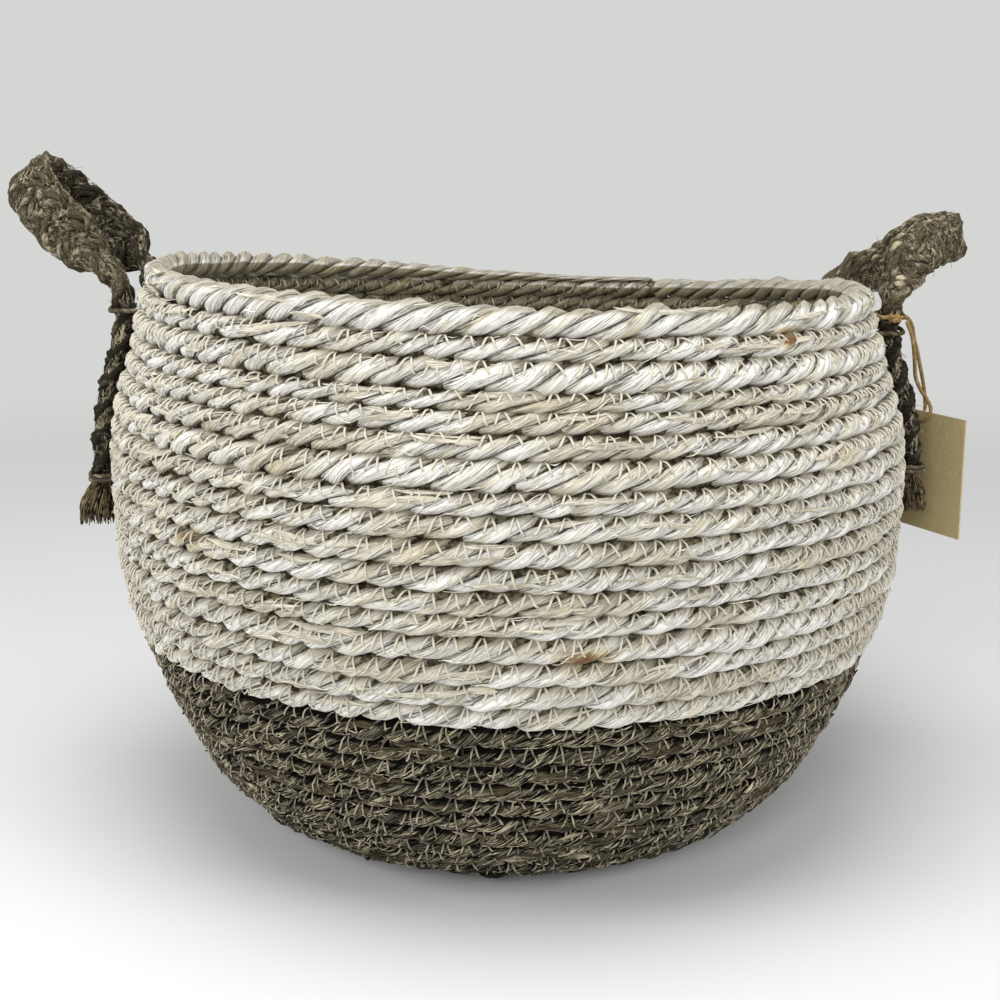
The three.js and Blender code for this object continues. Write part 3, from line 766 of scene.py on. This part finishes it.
def plaited_strap(name, path, handle, seed):
    """Three flat strands of five yarns each, plaited over and under one another, round a plain core."""
    line, lengths, across, through, width = path
    spots, stations, sideways, outward, widths = (each[::YARN_STEP] for each in path)
    below = ease(handle["hinge"] - spots[:, 2], *TAIL_SHADE)
    reach = stations / lengths[-1]
    far = ease(reach * handle["near"] + (handle["near"] < 0), *FAR_SHADE)
    shade = np.maximum(below, np.maximum(far * handle["far_shade"], handle["near_shade"]))
    phase = lengths / PLAIT * 2 * math.pi
    narrow = width / STRAP_WIDTH
    tubes = []
    for strand in range(3):
        turn = phase + strand * 2 * math.pi / 3
        side = PLAIT_SWAY * narrow * np.sin(turn)
        depth = PLAIT_DEPTH * np.sin(2 * turn)
        centre = line + across * side[:, None] + through * depth[:, None]
        lateral = unit(np.cross(through, unit(np.gradient(centre, axis=0))))
        for yarn in range(PLAIT_YARNS):
            key = seed + strand * 10 + yarn
            roll = lengths / YARN_ROLL * 2 * math.pi + yarn * 2 * math.pi / PLAIT_YARNS
            roll = roll + wander(lengths, 0.5, 22, key)
            wide = (3.3 * narrow * np.cos(roll))[:, None]
            deep = (1.5 * np.sin(roll) + wander(lengths, 0.35, 9, key + 50))[:, None]
            points = (centre + lateral * wide + through * deep)[::YARN_STEP]
            size = YARN * (1 + wander(stations, 0.14, 7, key + 99))
            rings, lay_mark = tube_rings(points, outward, size, 8, 0.22, 8 + yarn)
            tubes.append((rings, lay_mark + (key * 7.0, 0, 0)))
    turn = circle(12)
    wide = widths[:, None] * 0.4 * np.cos(turn)
    core = placed(spots, sideways, outward, wide, 1.9 * np.sin(turn))
    core_lay = np.stack([stations[:, None] + 0 * turn, 9 * np.cos(turn) + 0 * wide, core[..., 2]], -1)
    return joined(name, tubes + [(core, core_lay)], shade)


def joined(name, tubes, shade=0.0):
    """Tubes of the same kind as one piece, with their lay kept, and with a shade for each ring."""
    made = []
    for index, (rings, lay) in enumerate(tubes):
        shades = np.zeros(rings.shape[:2]) + np.reshape(shade, (-1, 1))
        made.append(swept(f"{name}_{index}", rings, lay=lay, shade=shades))
    shape = bmesh.new()
    for piece in made:
        shape.from_mesh(piece.data)
    mesh = bpy.data.meshes.new(name)
    shape.to_mesh(mesh)
    shape.free()
    for piece in made:
        used = piece.data
        bpy.data.objects.remove(piece)
        bpy.data.meshes.remove(used)
    mesh.shade_smooth()
    return link(name, mesh)


def strap_hairs(name, path, seed):
    """Short fibres that lie round a strap, a few of them with a loose end."""
    longest = path[1][-1]
    count = int(longest * HAIRS_A_MILLIMETRE)
    random = np.random.default_rng(seed)
    draw = partial(random.uniform, size=(count, 1))
    steps = np.linspace(-0.5, 0.5, len(HAIR_TAPER))
    length = draw(5, 16)
    slant = random.normal(0, 0.6, (count, 1)) + random.normal(0, 0.7, (count, 1)) * steps * 2
    along = draw(8, longest - 8) + length * steps * np.cos(slant)
    index = np.clip(np.rint(along / STRAP_STEP).astype(int), 0, len(path[1]) - 1)
    line, _, across, through, width = (each[index] for each in path)
    wide, deep = width / 2 - 0.8, 4.2
    turn = draw(0, 2 * math.pi)
    turn = turn + length * steps * np.sin(slant) / np.hypot(wide * np.sin(turn), deep * np.cos(turn))
    bold = draw(0, 1) > 1 - BOLD_HAIRS
    lift = np.where(bold, draw(1.5, 4.5), draw(0, 0.7))
    reach = lift * (2 * np.maximum(steps, 0)) ** 1.7 - 0.3 + wander(along, 0.3, 3, seed)
    places = line + across * ((wide + reach) * np.cos(turn))[..., None]
    places = places + through * ((deep + reach) * np.sin(turn))[..., None]
    return strands(name, places, draw(0.09, 0.2) * HAIR_TAPER)


def tassel(name, tail, fray, seed):
    """Frayed yarn ends below the lower lashing."""
    count = TASSEL_FIBRES
    random = np.random.default_rng(seed)
    azimuth = tail["azimuth"]
    outward, sideways = ways_at(azimuth)
    top = tail["end"] - 0.5
    wide, deep = random.uniform(-1, 1, count), random.uniform(-1, 1, count)
    inside = np.maximum(1, np.hypot(wide, deep))
    wide, deep = wide / inside, deep / inside
    length = TASSEL_LENGTH * random.uniform(0.9, 1.0 + 0.22 * fray, count) * (1 - 0.12 * np.abs(wide))
    bend = random.normal(0, 1, (2, count))
    lines = []
    for step in np.linspace(0, 1, len(TASSEL_TAPER)):
        flare = fray * ease(step, 0, 0.85)
        half_width = 9.2 + 7.4 * flare
        half_depth = 3.8 + 4.4 * flare
        heights = (top, top - step * TASSEL_LENGTH)
        wall = max(outside_radius(azimuth, height) for height in heights) + STRAP_GAP
        sweep = step * (1 - step) * 4
        side_way = wide * half_width + bend[0] * (1.3 * sweep + 0.6 * step * step)
        out_way = wall + half_depth + 0.8 + deep * half_depth + 0.6 * bend[1] * sweep
        point = outward * out_way[:, None] + sideways * side_way[:, None]
        point[:, 2] = top - step * length
        lines.append(point)
    radius = random.uniform(0.16, 0.5, count)[:, None] * TASSEL_TAPER
    return strands(name, np.stack(lines, axis=1), radius, 1)


def round_tail(tail, height, flat, spread=1.0, rise=0.5):
    """Points round a tail at one height, from their places across and out of it, and how each faces."""
    nearest = np.argmin(np.abs(tail["line"][:, 2] - height))
    centre = math.hypot(*tail["line"][nearest, :2])
    outward, sideways = ways_at(tail["azimuth"])
    points = outward * (centre + flat[:, 1:2]) + sideways * flat[:, 0:1]
    points[:, 2] = height
    return points, outward * flat[:, 1:2] + sideways * flat[:, 0:1] * spread + (0, 0, rise)


def lashing(name, tail, height, turns, seed):
    """Turns of twine across a strap, with both ends between the rows of the wall."""
    shape = LASHING_SHAPE + [(-x, y) for x, y in reversed(LASHING_SHAPE[:-1])]
    flat = evenly(shape, 60, 1.2)
    tubes = []
    for turn in range(turns):
        points, normals = round_tail(tail, height, flat, 0.5, 0.01)
        rise = (turn - (turns - 1) / 2) * LASHING_PITCH
        points[:, 2] = height + rise + wander(flat[:, 0], 0.5, 11, seed + turn)
        rings, lay_mark = tube_rings(points, normals, LASHING_TWINE, 8, 0.14)
        tubes.append((rings, lay_mark + (seed * 3.0 + turn * 11, 0, 0)))
    return joined(name, tubes)


# Finishes
def colour(red, green, blue):
    """A colour as it shows on a screen, turned to the plain values that the shader takes."""
    values = [((c / 255 + 0.055) / 1.055) ** 2.4 for c in (red, green, blue)]
    return (*values, 1)


def feed(tree, node, values):
    """Sets inputs of a node: another node's output is linked, and anything else is written in."""
    for key, value in values.items():
        if isinstance(value, bpy.types.NodeSocket):
            tree.links.new(value, node.inputs[key])
        else:
            node.inputs[key].default_value = value


def add(tree, kind, values=None, **settings):
    node = tree.nodes.new("ShaderNode" + kind)
    for key, value in settings.items():
        setattr(node, key, value)
    feed(tree, node, values or {})
    return node


def mix(tree, share, first, second):
    """Blends two colours. Each is a node's output, or red, green and blue as they show on a screen."""
    first, second = (colour(*tone) if isinstance(tone, tuple) else tone for tone in (first, second))
    return add(tree, "Mix", {0: share, 6: first, 7: second}, data_type="RGBA").outputs[2]


def arithmetic(tree, operation, first, second=0.0, third=0.0):
    return add(tree, "Math", {0: first, 1: second, 2: third}, operation=operation).outputs[0]


def between(tree, value, low, high, first=0.0, second=1.0):
    """Maps low to high onto first to second, smoothly and without going past either."""
    values = {0: value, 1: low, 2: high, 3: first, 4: second}
    return add(tree, "MapRange", values, interpolation_type="SMOOTHSTEP").outputs[0]


def graded(tree, value, low, high, first, second, most=1.0):
    """The first colour where the value is low, and the second one, as far as most, where it is high."""
    return mix(tree, between(tree, value, low, high, 0.0, most), first, second)


def laid_over(tree, base, tone, share, part):
    """A colour over the base, by the product of two shares."""
    return mix(tree, arithmetic(tree, "MULTIPLY", share, part), base, tone)


def noise(tree, vector, stretch, detail=3, rough=0.55):
    moved = add(tree, "Mapping", {"Vector": vector, "Scale": stretch}).outputs[0]
    values = {"Vector": moved, "Scale": 1, "Detail": detail, "Roughness": rough}
    return add(tree, "TexNoise", values).outputs[0]


def mark(tree, name, field=2):
    return add(tree, "Attribute", attribute_name=name).outputs[field]


def fibre_group():
    """Streaks and cracks that run along a strand. It takes the strand's own lay."""
    tree = bpy.data.node_groups.new("strand fibres", "ShaderNodeTree")
    tree.interface.new_socket("Lay", in_out="INPUT", socket_type="NodeSocketVector")
    tree.interface.new_socket("Coarseness", in_out="INPUT", socket_type="NodeSocketFloat")
    for name in ("Streaks", "Cracks", "Patches"):
        tree.interface.new_socket(name, in_out="OUTPUT", socket_type="NodeSocketFloat")
    given = tree.nodes.new("NodeGroupInput")
    scaled = add(tree, "VectorMath", {0: given.outputs[0]}, operation="SCALE")
    tree.links.new(given.outputs[1], scaled.inputs["Scale"])
    lay = scaled.outputs[0]
    streaks = noise(tree, lay, (0.13, 2.1, 2.1), 5, 0.62)
    crossing = noise(tree, lay, (0.05, 0.75, 0.75), 3, 0.5)
    away = arithmetic(tree, "ABSOLUTE", arithmetic(tree, "SUBTRACT", crossing, 0.5))
    cracks = between(tree, away, 0.004, 0.035, 1.0, 0.0)
    patches = noise(tree, lay, (0.045, 0.16, 0.16), 3, 0.6)
    result = tree.nodes.new("NodeGroupOutput")
    for index, value in enumerate((streaks, cracks, patches)):
        tree.links.new(value, result.inputs[index])
    return tree


fibres_tree = fibre_group()


def new_finish(name):
    finish = bpy.data.materials.new(name)
    finish.use_nodes = True
    tree = finish.node_tree
    tree.nodes.clear()
    shader = add(tree, "BsdfPrincipled")
    result = add(tree, "OutputMaterial")
    tree.links.new(shader.outputs[0], result.inputs[0])
    return finish, tree, shader


def fibres(tree, coarseness=1.0):
    node = add(tree, "Group", node_tree=fibres_tree)
    feed(tree, node, {0: mark(tree, "lay", 1), 1: coarseness})
    return node.outputs[0], node.outputs[1], node.outputs[2]


def paint(tree, shader, base, rough, shine, bumps=None):
    """Feeds colour, roughness and shine, and bumps as their height, strength and distance."""
    feed(tree, shader, {"Base Color": base, "Roughness": rough, "Specular IOR Level": shine})
    if bumps:
        values = dict(zip(("Height", "Strength", "Distance"), bumps))
        feed(tree, shader, {"Normal": add(tree, "Bump", values).outputs[0]})


def painted_colour(tree, streaks, patches, tint, unpainted_shaded_seam):
    """Whitewash, worn and cracked, with loose straw and brown marks, and a tan at each seam that is partly
    unpainted leaf and partly painted shade.
    """
    base = graded(tree, streaks, 0.3, 0.62, (221, 218, 206), (250, 249, 244))
    base = graded(tree, patches, 0.5, 0.7, base, (211, 201, 172), 0.85)
    straw = graded(tree, streaks, 0.36, 0.6, (160, 149, 118), (226, 218, 194))
    base = laid_over(tree, base, straw, mark(tree, "straw"), 0.7)
    torn = between(tree, streaks, 0.3, 0.6, 1.25, 0.75)
    brown = arithmetic(tree, "MULTIPLY", mark(tree, "stain"), torn)
    base = graded(tree, brown, 0.08, 0.5, base, (203, 187, 142), 0.85)
    base = graded(tree, brown, 0.5, 0.85, base, (118, 78, 42), 0.95)
    base = graded(tree, tint, 0.2, 1.0, base, (190, 184, 160), 0.35)
    # Tan at the seams, partly unpainted leaf and partly painted shade
    return laid_over(tree, base, (160, 151, 127), unpainted_shaded_seam, 0.7)


def dark_colour(tree, streaks, tint, upward, drawn):
    """Dark streaked leaf, with a painted highlight at the foot of each row, and painted shade, near black, at
    its seam and near the floor.
    """
    base = graded(tree, streaks, 0.46, 0.6, (14, 12, 8), (222, 211, 178))
    base = graded(tree, tint, -0.6, 1.0, base, (44, 40, 31), 0.75)
    # Painted highlight on the lower part of each row, where its edges catch the light
    painted_edge_highlight = between(tree, upward, -0.3, -0.75, 0.0, 0.6)
    base = laid_over(tree, base, (226, 217, 194), painted_edge_highlight, streaks)
    # Painted shade, near black, on the drawn-in part under the row above
    base = graded(tree, drawn, 0.0, 0.6, base, (7, 6, 5), 0.97)
    # Painted shade near the floor, from the low mark
    return laid_over(tree, base, (10, 9, 7), mark(tree, "low"), 0.72)


def leaf_finish(name, painted):
    finish, tree, shader = new_finish(name)
    streaks, cracks, patches = fibres(tree)
    tint, groove, facing, upward = (mark(tree, each) for each in ("tint", "groove", "facing", "upward"))
    raw = graded(tree, streaks, 0.3, 0.7, (104, 94, 72), (178, 166, 130))
    raw = graded(tree, tint, -0.9, 0.9, raw, (132, 125, 102))
    inner = between(tree, facing, -0.02, -0.3)
    # The upper part of each row, drawn in under the row above, where painted shade goes
    drawn = between(tree, upward, 0.35, 0.85)
    if painted:
        # Where the seam tone goes: on the drawn-in part under the row above and on the row's underside; it is
        # partly unpainted leaf and partly painted shade
        unpainted_shaded_seam = arithmetic(tree, "MAXIMUM", drawn, between(tree, upward, -0.84, -1.0))
        base = painted_colour(tree, streaks, patches, tint, unpainted_shaded_seam)
        base = mix(tree, inner, base, raw)
        fine = noise(tree, mark(tree, "lay", 1), (0.1, 1.6, 1.6), 4, 0.7)
        base = laid_over(tree, base, (96, 88, 70), between(tree, fine, 0.36, 0.42, 1.0, 0.0), 0.75)
        crack_tone, groove_shade_tone, groove_shade_start = (92, 86, 72), (52, 45, 33), 0.84
    else:
        base = dark_colour(tree, streaks, tint, upward, drawn)
        base = mix(tree, inner, base, mix(tree, 0.5, raw, (78, 70, 56)))
        crack_tone, groove_shade_tone, groove_shade_start = (16, 15, 11), (9, 8, 6), 0.55
    base = laid_over(tree, base, crack_tone, cracks, between(tree, groove, 0.25, 0.85, 0.3, 0.95))
    # Painted shade in the grooves between the plies
    base = graded(tree, groove, groove_shade_start, 1.0, base, groove_shade_tone, 0.95)
    rough = between(tree, streaks, 0.3, 0.7, 0.82, 0.62)
    height = arithmetic(tree, "SUBTRACT", streaks, arithmetic(tree, "MULTIPLY", cracks, 0.8))
    wrinkles = noise(tree, mark(tree, "lay", 1), (0.4, 0.9, 0.9), 2)
    height = arithmetic(tree, "MULTIPLY_ADD", wrinkles, 0.9, height)
    shine, strength = (0.3, 0.75) if painted else (0.06, 1.0)
    paint(tree, shader, base, rough, shine, (height, strength, 0.0018))
    return finish


def thread_finish():
    finish, tree, shader = new_finish("stitching thread")
    streaks, _, patches = fibres(tree, 2.0)
    light = graded(tree, streaks, 0.3, 0.7, (166, 158, 138), (226, 221, 207))
    dark = graded(tree, patches, 0.34, 0.66, (26, 23, 16), (184, 175, 152))
    base = mix(tree, mark(tree, "white"), dark, light)
    # Painted shade where the thread sinks under the row above
    base = laid_over(tree, base, (22, 19, 14), mark(tree, "sunk"), 0.9)
    paint(tree, shader, base, 0.8, 0.15, (streaks, 0.4, 0.0004))
    return finish


def yarn_finish(name, dark, middle, light, coarseness=2.2):
    finish, tree, shader = new_finish(name)
    streaks, cracks, patches = fibres(tree, coarseness)
    base = graded(tree, streaks, 0.32, 0.7, dark, middle)
    base = graded(tree, patches, 0.5, 0.75, base, light)
    base = laid_over(tree, base, dark, cracks, 0.5)
    shaded = mix(tree, 0.8, base, (12, 10, 7))
    base = mix(tree, mark(tree, "shade"), base, shaded)
    paint(tree, shader, base, 0.9, 0.08, (streaks, 0.9, 0.0009))
    return finish


def hair_finish(name, dark, light):
    finish, tree, shader = new_finish(name)
    where = add(tree, "TexCoord").outputs["Object"]
    value = noise(tree, where, (420, 420, 420), 2)
    paint(tree, shader, graded(tree, value, 0.35, 0.68, dark, light), 0.8, 0.1)
    return finish


def card_finish():
    finish, tree, shader = new_finish("kraft card")
    where = add(tree, "TexCoord").outputs["Object"]
    grain = noise(tree, where, (1400, 1400, 500), 4, 0.65)
    cloud = noise(tree, where, (60, 60, 60), 3)
    flecks = between(tree, noise(tree, where, (900, 900, 260), 2), 0.66, 0.72)
    base = graded(tree, grain, 0.3, 0.7, (158, 143, 103), (180, 165, 123))
    base = graded(tree, cloud, 0.3, 0.7, base, (170, 152, 108), 0.35)
    base = laid_over(tree, base, (128, 110, 74), flecks, 0.5)
    paint(tree, shader, base, 0.78, 0.3, (grain, 0.25, 0.0003))
    return finish


white_leaf = leaf_finish("whitewashed leaf", True)
dark_leaf = leaf_finish("dark leaf", False)
thread = thread_finish()
jute = yarn_finish("jute yarn", (12, 10, 7), (130, 120, 95), (212, 200, 170))
jute_hair = hair_finish("jute hair", (44, 39, 29), (180, 169, 143))
tassel_jute = hair_finish("frayed jute", (26, 22, 15), (118, 104, 78))
pale_strip = yarn_finish("pale strip", (152, 143, 118), (238, 234, 222), (222, 214, 192), 1.3)
dark_strip = yarn_finish("dark strip", (14, 12, 9), (108, 98, 76), (202, 191, 164), 1.3)
twine = yarn_finish("tag twine", (140, 112, 66), (186, 158, 106), (206, 182, 134), 3.0)
kraft = card_finish()
# Core finishes: painted shade that shows in the gaps between the lobes
shaded_dark_core = hair_finish("dark core shade", (7, 6, 4), (18, 16, 12))
shaded_pale_core = hair_finish("pale core shade", (42, 37, 27), (114, 106, 85))
pale_fibre = hair_finish("loose pale leaf", (196, 188, 164), (240, 238, 230))
dark_fibre = hair_finish("loose dark leaf", (30, 26, 18), (204, 192, 164))


DARK_SLOT = "dark_leaf_rope"
WHITE_SLOT = "white_leaf_rope"


def dress(piece, finish, replaced=(), body="basket"):
    piece.data.materials.clear()
    piece.data.materials.append(finish)
    if body:
        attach(piece, body)
    if replaced:
        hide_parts(*replaced)
    return piece


# Camera: its lens and sensor in millimetres, its place in metres and how far it looks down
LENS = 58.07
SENSOR_WIDTH = 36
CAMERA_SHIFT = -0.008
CAMERA_PLACE = (0, -0.783, 0.330)
CAMERA_DIP = 12.76


def make_camera():
    data = bpy.data.cameras.new("camera")
    data.lens = LENS
    data.sensor_width = SENSOR_WIDTH
    data.shift_x = CAMERA_SHIFT
    camera = link("camera", data)
    camera.location = CAMERA_PLACE
    camera.rotation_euler = (math.radians(90 - CAMERA_DIP), 0, 0)
    bpy.context.scene.camera = camera


make_camera()


# Tag string, its loop and its knot
def twisted_string(name, points, normals, radius, sides, relief, node, body="basket"):
    rings, lay = tube_rings(points, normals, radius, sides, relief, STRING_LAY)
    return dress(swept(name, rings, lay=lay), twine, [node], body)


def string_round_strap(tail):
    """The string goes once round the strap, and both of its ends leave towards the knot."""
    through = STRAP_THICKNESS / 2 + STRING_GAP + STRING / 2
    across = PINCHED_WIDTH / 2 + STRING_GAP + STRING / 2
    shape = [
        (-across - 2, 0.6), (-across + 1, through - 0.6), (-across + 4, through), (0, through + 0.3),
        (across - 4, through), (across - 0.6, through - 2), (across, 0), (across - 0.6, 2 - through),
        (across - 4, -through), (0, -through), (-across + 4, -through), (-across + 1, 0.6 - through),
        (-across - 2, -0.6),
    ]
    flat = evenly(shape, 400, 1.0)
    points, normals = round_tail(tail, STRING_LOOP_HEIGHT, flat)
    points[:, 2] += wander(flat[:, 0], 0.5, 9, 71)
    name, radius = "tag_string_round_strap", STRING * STRING_SHARE
    return twisted_string(name, points, normals, radius, 8, 0.1, "tag_string_loop")


def string_knot_beside(tail):
    """A trefoil knot of string beside the strap."""
    reach = PINCHED_WIDTH / 2 + STRING_GAP * 2 + STRING + KNOT_WIDTH / 2
    middle, _ = round_tail(tail, STRING_LOOP_HEIGHT, np.array([[-reach, 0]]))
    turn = np.linspace(0, 2 * math.pi, 90)
    trefoil = np.stack([
        np.sin(turn) + 2 * np.sin(2 * turn),
        np.cos(turn) - 2 * np.cos(2 * turn),
        -np.sin(3 * turn) * 1.3,
    ], -1) * KNOT_SCALE
    name, points, normals = "tag_string_tied_knot", middle + trefoil, trefoil + (0.02, 0.03, 0.2)
    return twisted_string(name, points, normals, STRING * 0.5, 8, 0.08, "tag_string_knot")


string_line = smooth_line(STRING_ROUTE, 1200)
string_lengths = lengths_along(string_line)
string_path = sampled(string_line, string_lengths, np.linspace(0, string_lengths[-1], STRING_POINTS))
string_normals = string_path * (0.002, 0.002, 0) + (0.3, 0.2, 1.0)
tag_string = twisted_string(
    "tag_string_twine", string_path, string_normals, STRING * STRING_SHARE, 10, 0.1, "tag_string", "swing_tag"
)
tagged_tail = tail_path(HANDLES["right"], -1)
string_loop = string_round_strap(tagged_tail)
string_knot = string_knot_beside(tagged_tail)
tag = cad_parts["tag"]
dress(tag, kraft, body=None)

# Rope of the base, the wall and the rim
for name, first, last, node in (
    ("base_rope", -BASE_TURNS, 0, "base_coil"),
    ("lower_wall_rope_bottom", 0, 7, "lower_wall_coil"),
    ("lower_wall_rope_top", 7, DARK_ROWS, "lower_wall_coil"),
    ("upper_wall_rope_bottom", DARK_ROWS, 18, "upper_wall_coil"),
    ("upper_wall_rope_middle", 18, 23, "upper_wall_coil"),
    ("upper_wall_rope_top", 23, WALL_ROWS, "upper_wall_coil"),
    ("rim_rope", WALL_ROWS, WALL_ROWS + 1, "rim_coil"),
):
    finish, slot = (dark_leaf, DARK_SLOT) if first < DARK_ROWS else (white_leaf, WHITE_SLOT)
    dress(rope(name, first, last), finish, [node])

# The cores are dressed in near-black and dark brown, painted shade in the gaps between the lobes
dress(rope_core("lower_wall_core", 0, DARK_ROWS), shaded_dark_core)
dress(rope_core("upper_wall_core", DARK_ROWS, WALL_ROWS + RIM_FADE), shaded_pale_core)

for name, first, last, inside, seed, uneven in (
    ("stitching_outside_lower", -BASE_TURNS + 1, DARK_ROWS, False, 61, 2.2),
    ("stitching_outside_upper", DARK_ROWS, WALL_ROWS, False, 63, 1),
    ("stitching_inside_lower", -BASE_TURNS + 1, DARK_ROWS, True, 65, 1),
    ("stitching_inside_upper", DARK_ROWS, WALL_ROWS, True, 67, 1),
):
    dress(stitching(name, first, last, inside, seed, uneven), thread)

upper_leaf = loose_leaf("loose_leaf_upper", DARK_ROWS, WALL_ROWS + 0.8, 1200, 81, (0.14, 0.36), (0.3, 2.2))
dress(upper_leaf, pale_fibre)
lower_leaf = loose_leaf("loose_leaf_lower", 3, DARK_ROWS, 2700, 83, (0.12, 0.3), (0.3, 2.0))
dress(lower_leaf, dark_fibre)
upper_strips = leaf_strips("leaf_strips_upper", DARK_ROWS, WALL_ROWS + 0.7, 380, 91)
dress(upper_strips, pale_strip)
dress(leaf_strips("leaf_strips_lower", 3, DARK_ROWS, 300, 93), dark_strip)

# Handles
for handle_index, (side, handle) in enumerate(HANDLES.items()):
    path = strap_path(handle)
    outward, _, hinge, _, _ = handle_frame(handle)
    body = f"handle_{side}"
    strap = plaited_strap(f"{body}_strap", path, handle, 100 + handle_index * 40)
    hairs = strap_hairs(f"{body}_hairs", path, 300 + handle_index)
    for piece, finish in ((strap, jute), (hairs, jute_hair)):
        dress(piece, finish, body=None)
        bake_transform(piece)
    places = {"left": ("near", "far"), "right": ("far", "near")}[side]
    nodes = [f"{body}_loop"] + [f"{body}_{place}_tail" for place in places]
    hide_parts(*nodes)
    for place, turn in zip(places, (1, -1)):
        tail = tail_path(handle, turn)
        label = f"{body}_{place}"
        seed = 400 + handle_index * 20 + turn
        for lashed, height, turns, key in (("top", tail["lash"], 1, seed), ("end", tail["end"], 2, seed + 5)):
            twine_piece = lashing(f"{label}_{lashed}_twine", tail, height, turns, key)
            dress(twine_piece, jute, [f"{label}_{lashed}_lashing"])
        frayed = tassel(f"{label}_frayed_end", tail, handle["fray"], seed + 9)
        dress(frayed, tassel_jute, [f"{label}_tassel"])


# Floor, lamps and background. Each lamp has its place and size in metres, and its power in watts
LAMP_TARGET = (0, 0, 0.12)
LAMPS = (
    ("top lamp", (-0.1, -0.3, 1.5), 1.0, 15.5),
    ("front lamp", (-0.35, -1.7, 0.8), 0.8, 15.5),
    ("right lamp", (1.3, -0.7, 0.7), 0.7, 8.5),
    ("left lamp", (-1.4, -0.5, 0.7), 0.7, 9.5),
)
FLOOR_RADIUS = 4
FLOOR_FADE = (0.45, 1.5)


def make_stage():
    shape = bmesh.new()
    bmesh.ops.create_circle(shape, cap_ends=True, segments=96, radius=FLOOR_RADIUS)
    mesh = bpy.data.meshes.new("floor")
    shape.to_mesh(mesh)
    shape.free()
    floor = link("floor", mesh)
    finish, tree, shader = new_finish("floor")
    feed(tree, shader, {"Base Color": (0.66, 0.66, 0.66, 1), "Roughness": 0.9})
    where = add(tree, "TexCoord").outputs["Object"]
    far = add(tree, "VectorMath", {0: where}, operation="LENGTH").outputs["Value"]
    clear = add(tree, "BsdfTransparent")
    fade = between(tree, far, *FLOOR_FADE)
    both = add(tree, "MixShader", {0: fade, 1: shader.outputs[0], 2: clear.outputs[0]})
    result = [node for node in tree.nodes if node.type == "OUTPUT_MATERIAL"][0]
    tree.links.new(both.outputs[0], result.inputs[0])
    mesh.materials.append(finish)
    for name, place, size, power in LAMPS:
        data = bpy.data.lights.new(name, "AREA")
        data.shape = "DISK"
        data.size = size
        data.energy = power
        lamp = link(name, data)
        lamp.location = place
        x, y, z = np.array(LAMP_TARGET) - np.array(place)
        lamp.rotation_euler = (math.atan2(math.hypot(x, y), -z), 0, math.atan2(y, x) - math.pi / 2)
    world = bpy.data.worlds.new("studio")
    bpy.context.scene.world = world
    world.use_nodes = True
    tree = world.node_tree
    tree.nodes.clear()
    camera_ray = add(tree, "LightPath").outputs["Is Camera Ray"]
    seen = add(tree, "Background", {"Color": colour(213, 214, 212), "Strength": 1.0})
    glow = add(tree, "Background", {"Color": (1, 1, 1, 1), "Strength": 0.4})
    both = add(tree, "MixShader", {0: camera_ray, 1: glow.outputs[0], 2: seen.outputs[0]})
    result = add(tree, "OutputWorld")
    tree.links.new(both.outputs[0], result.inputs[0])


make_stage()
bpy.context.scene.view_settings.view_transform = "Standard"
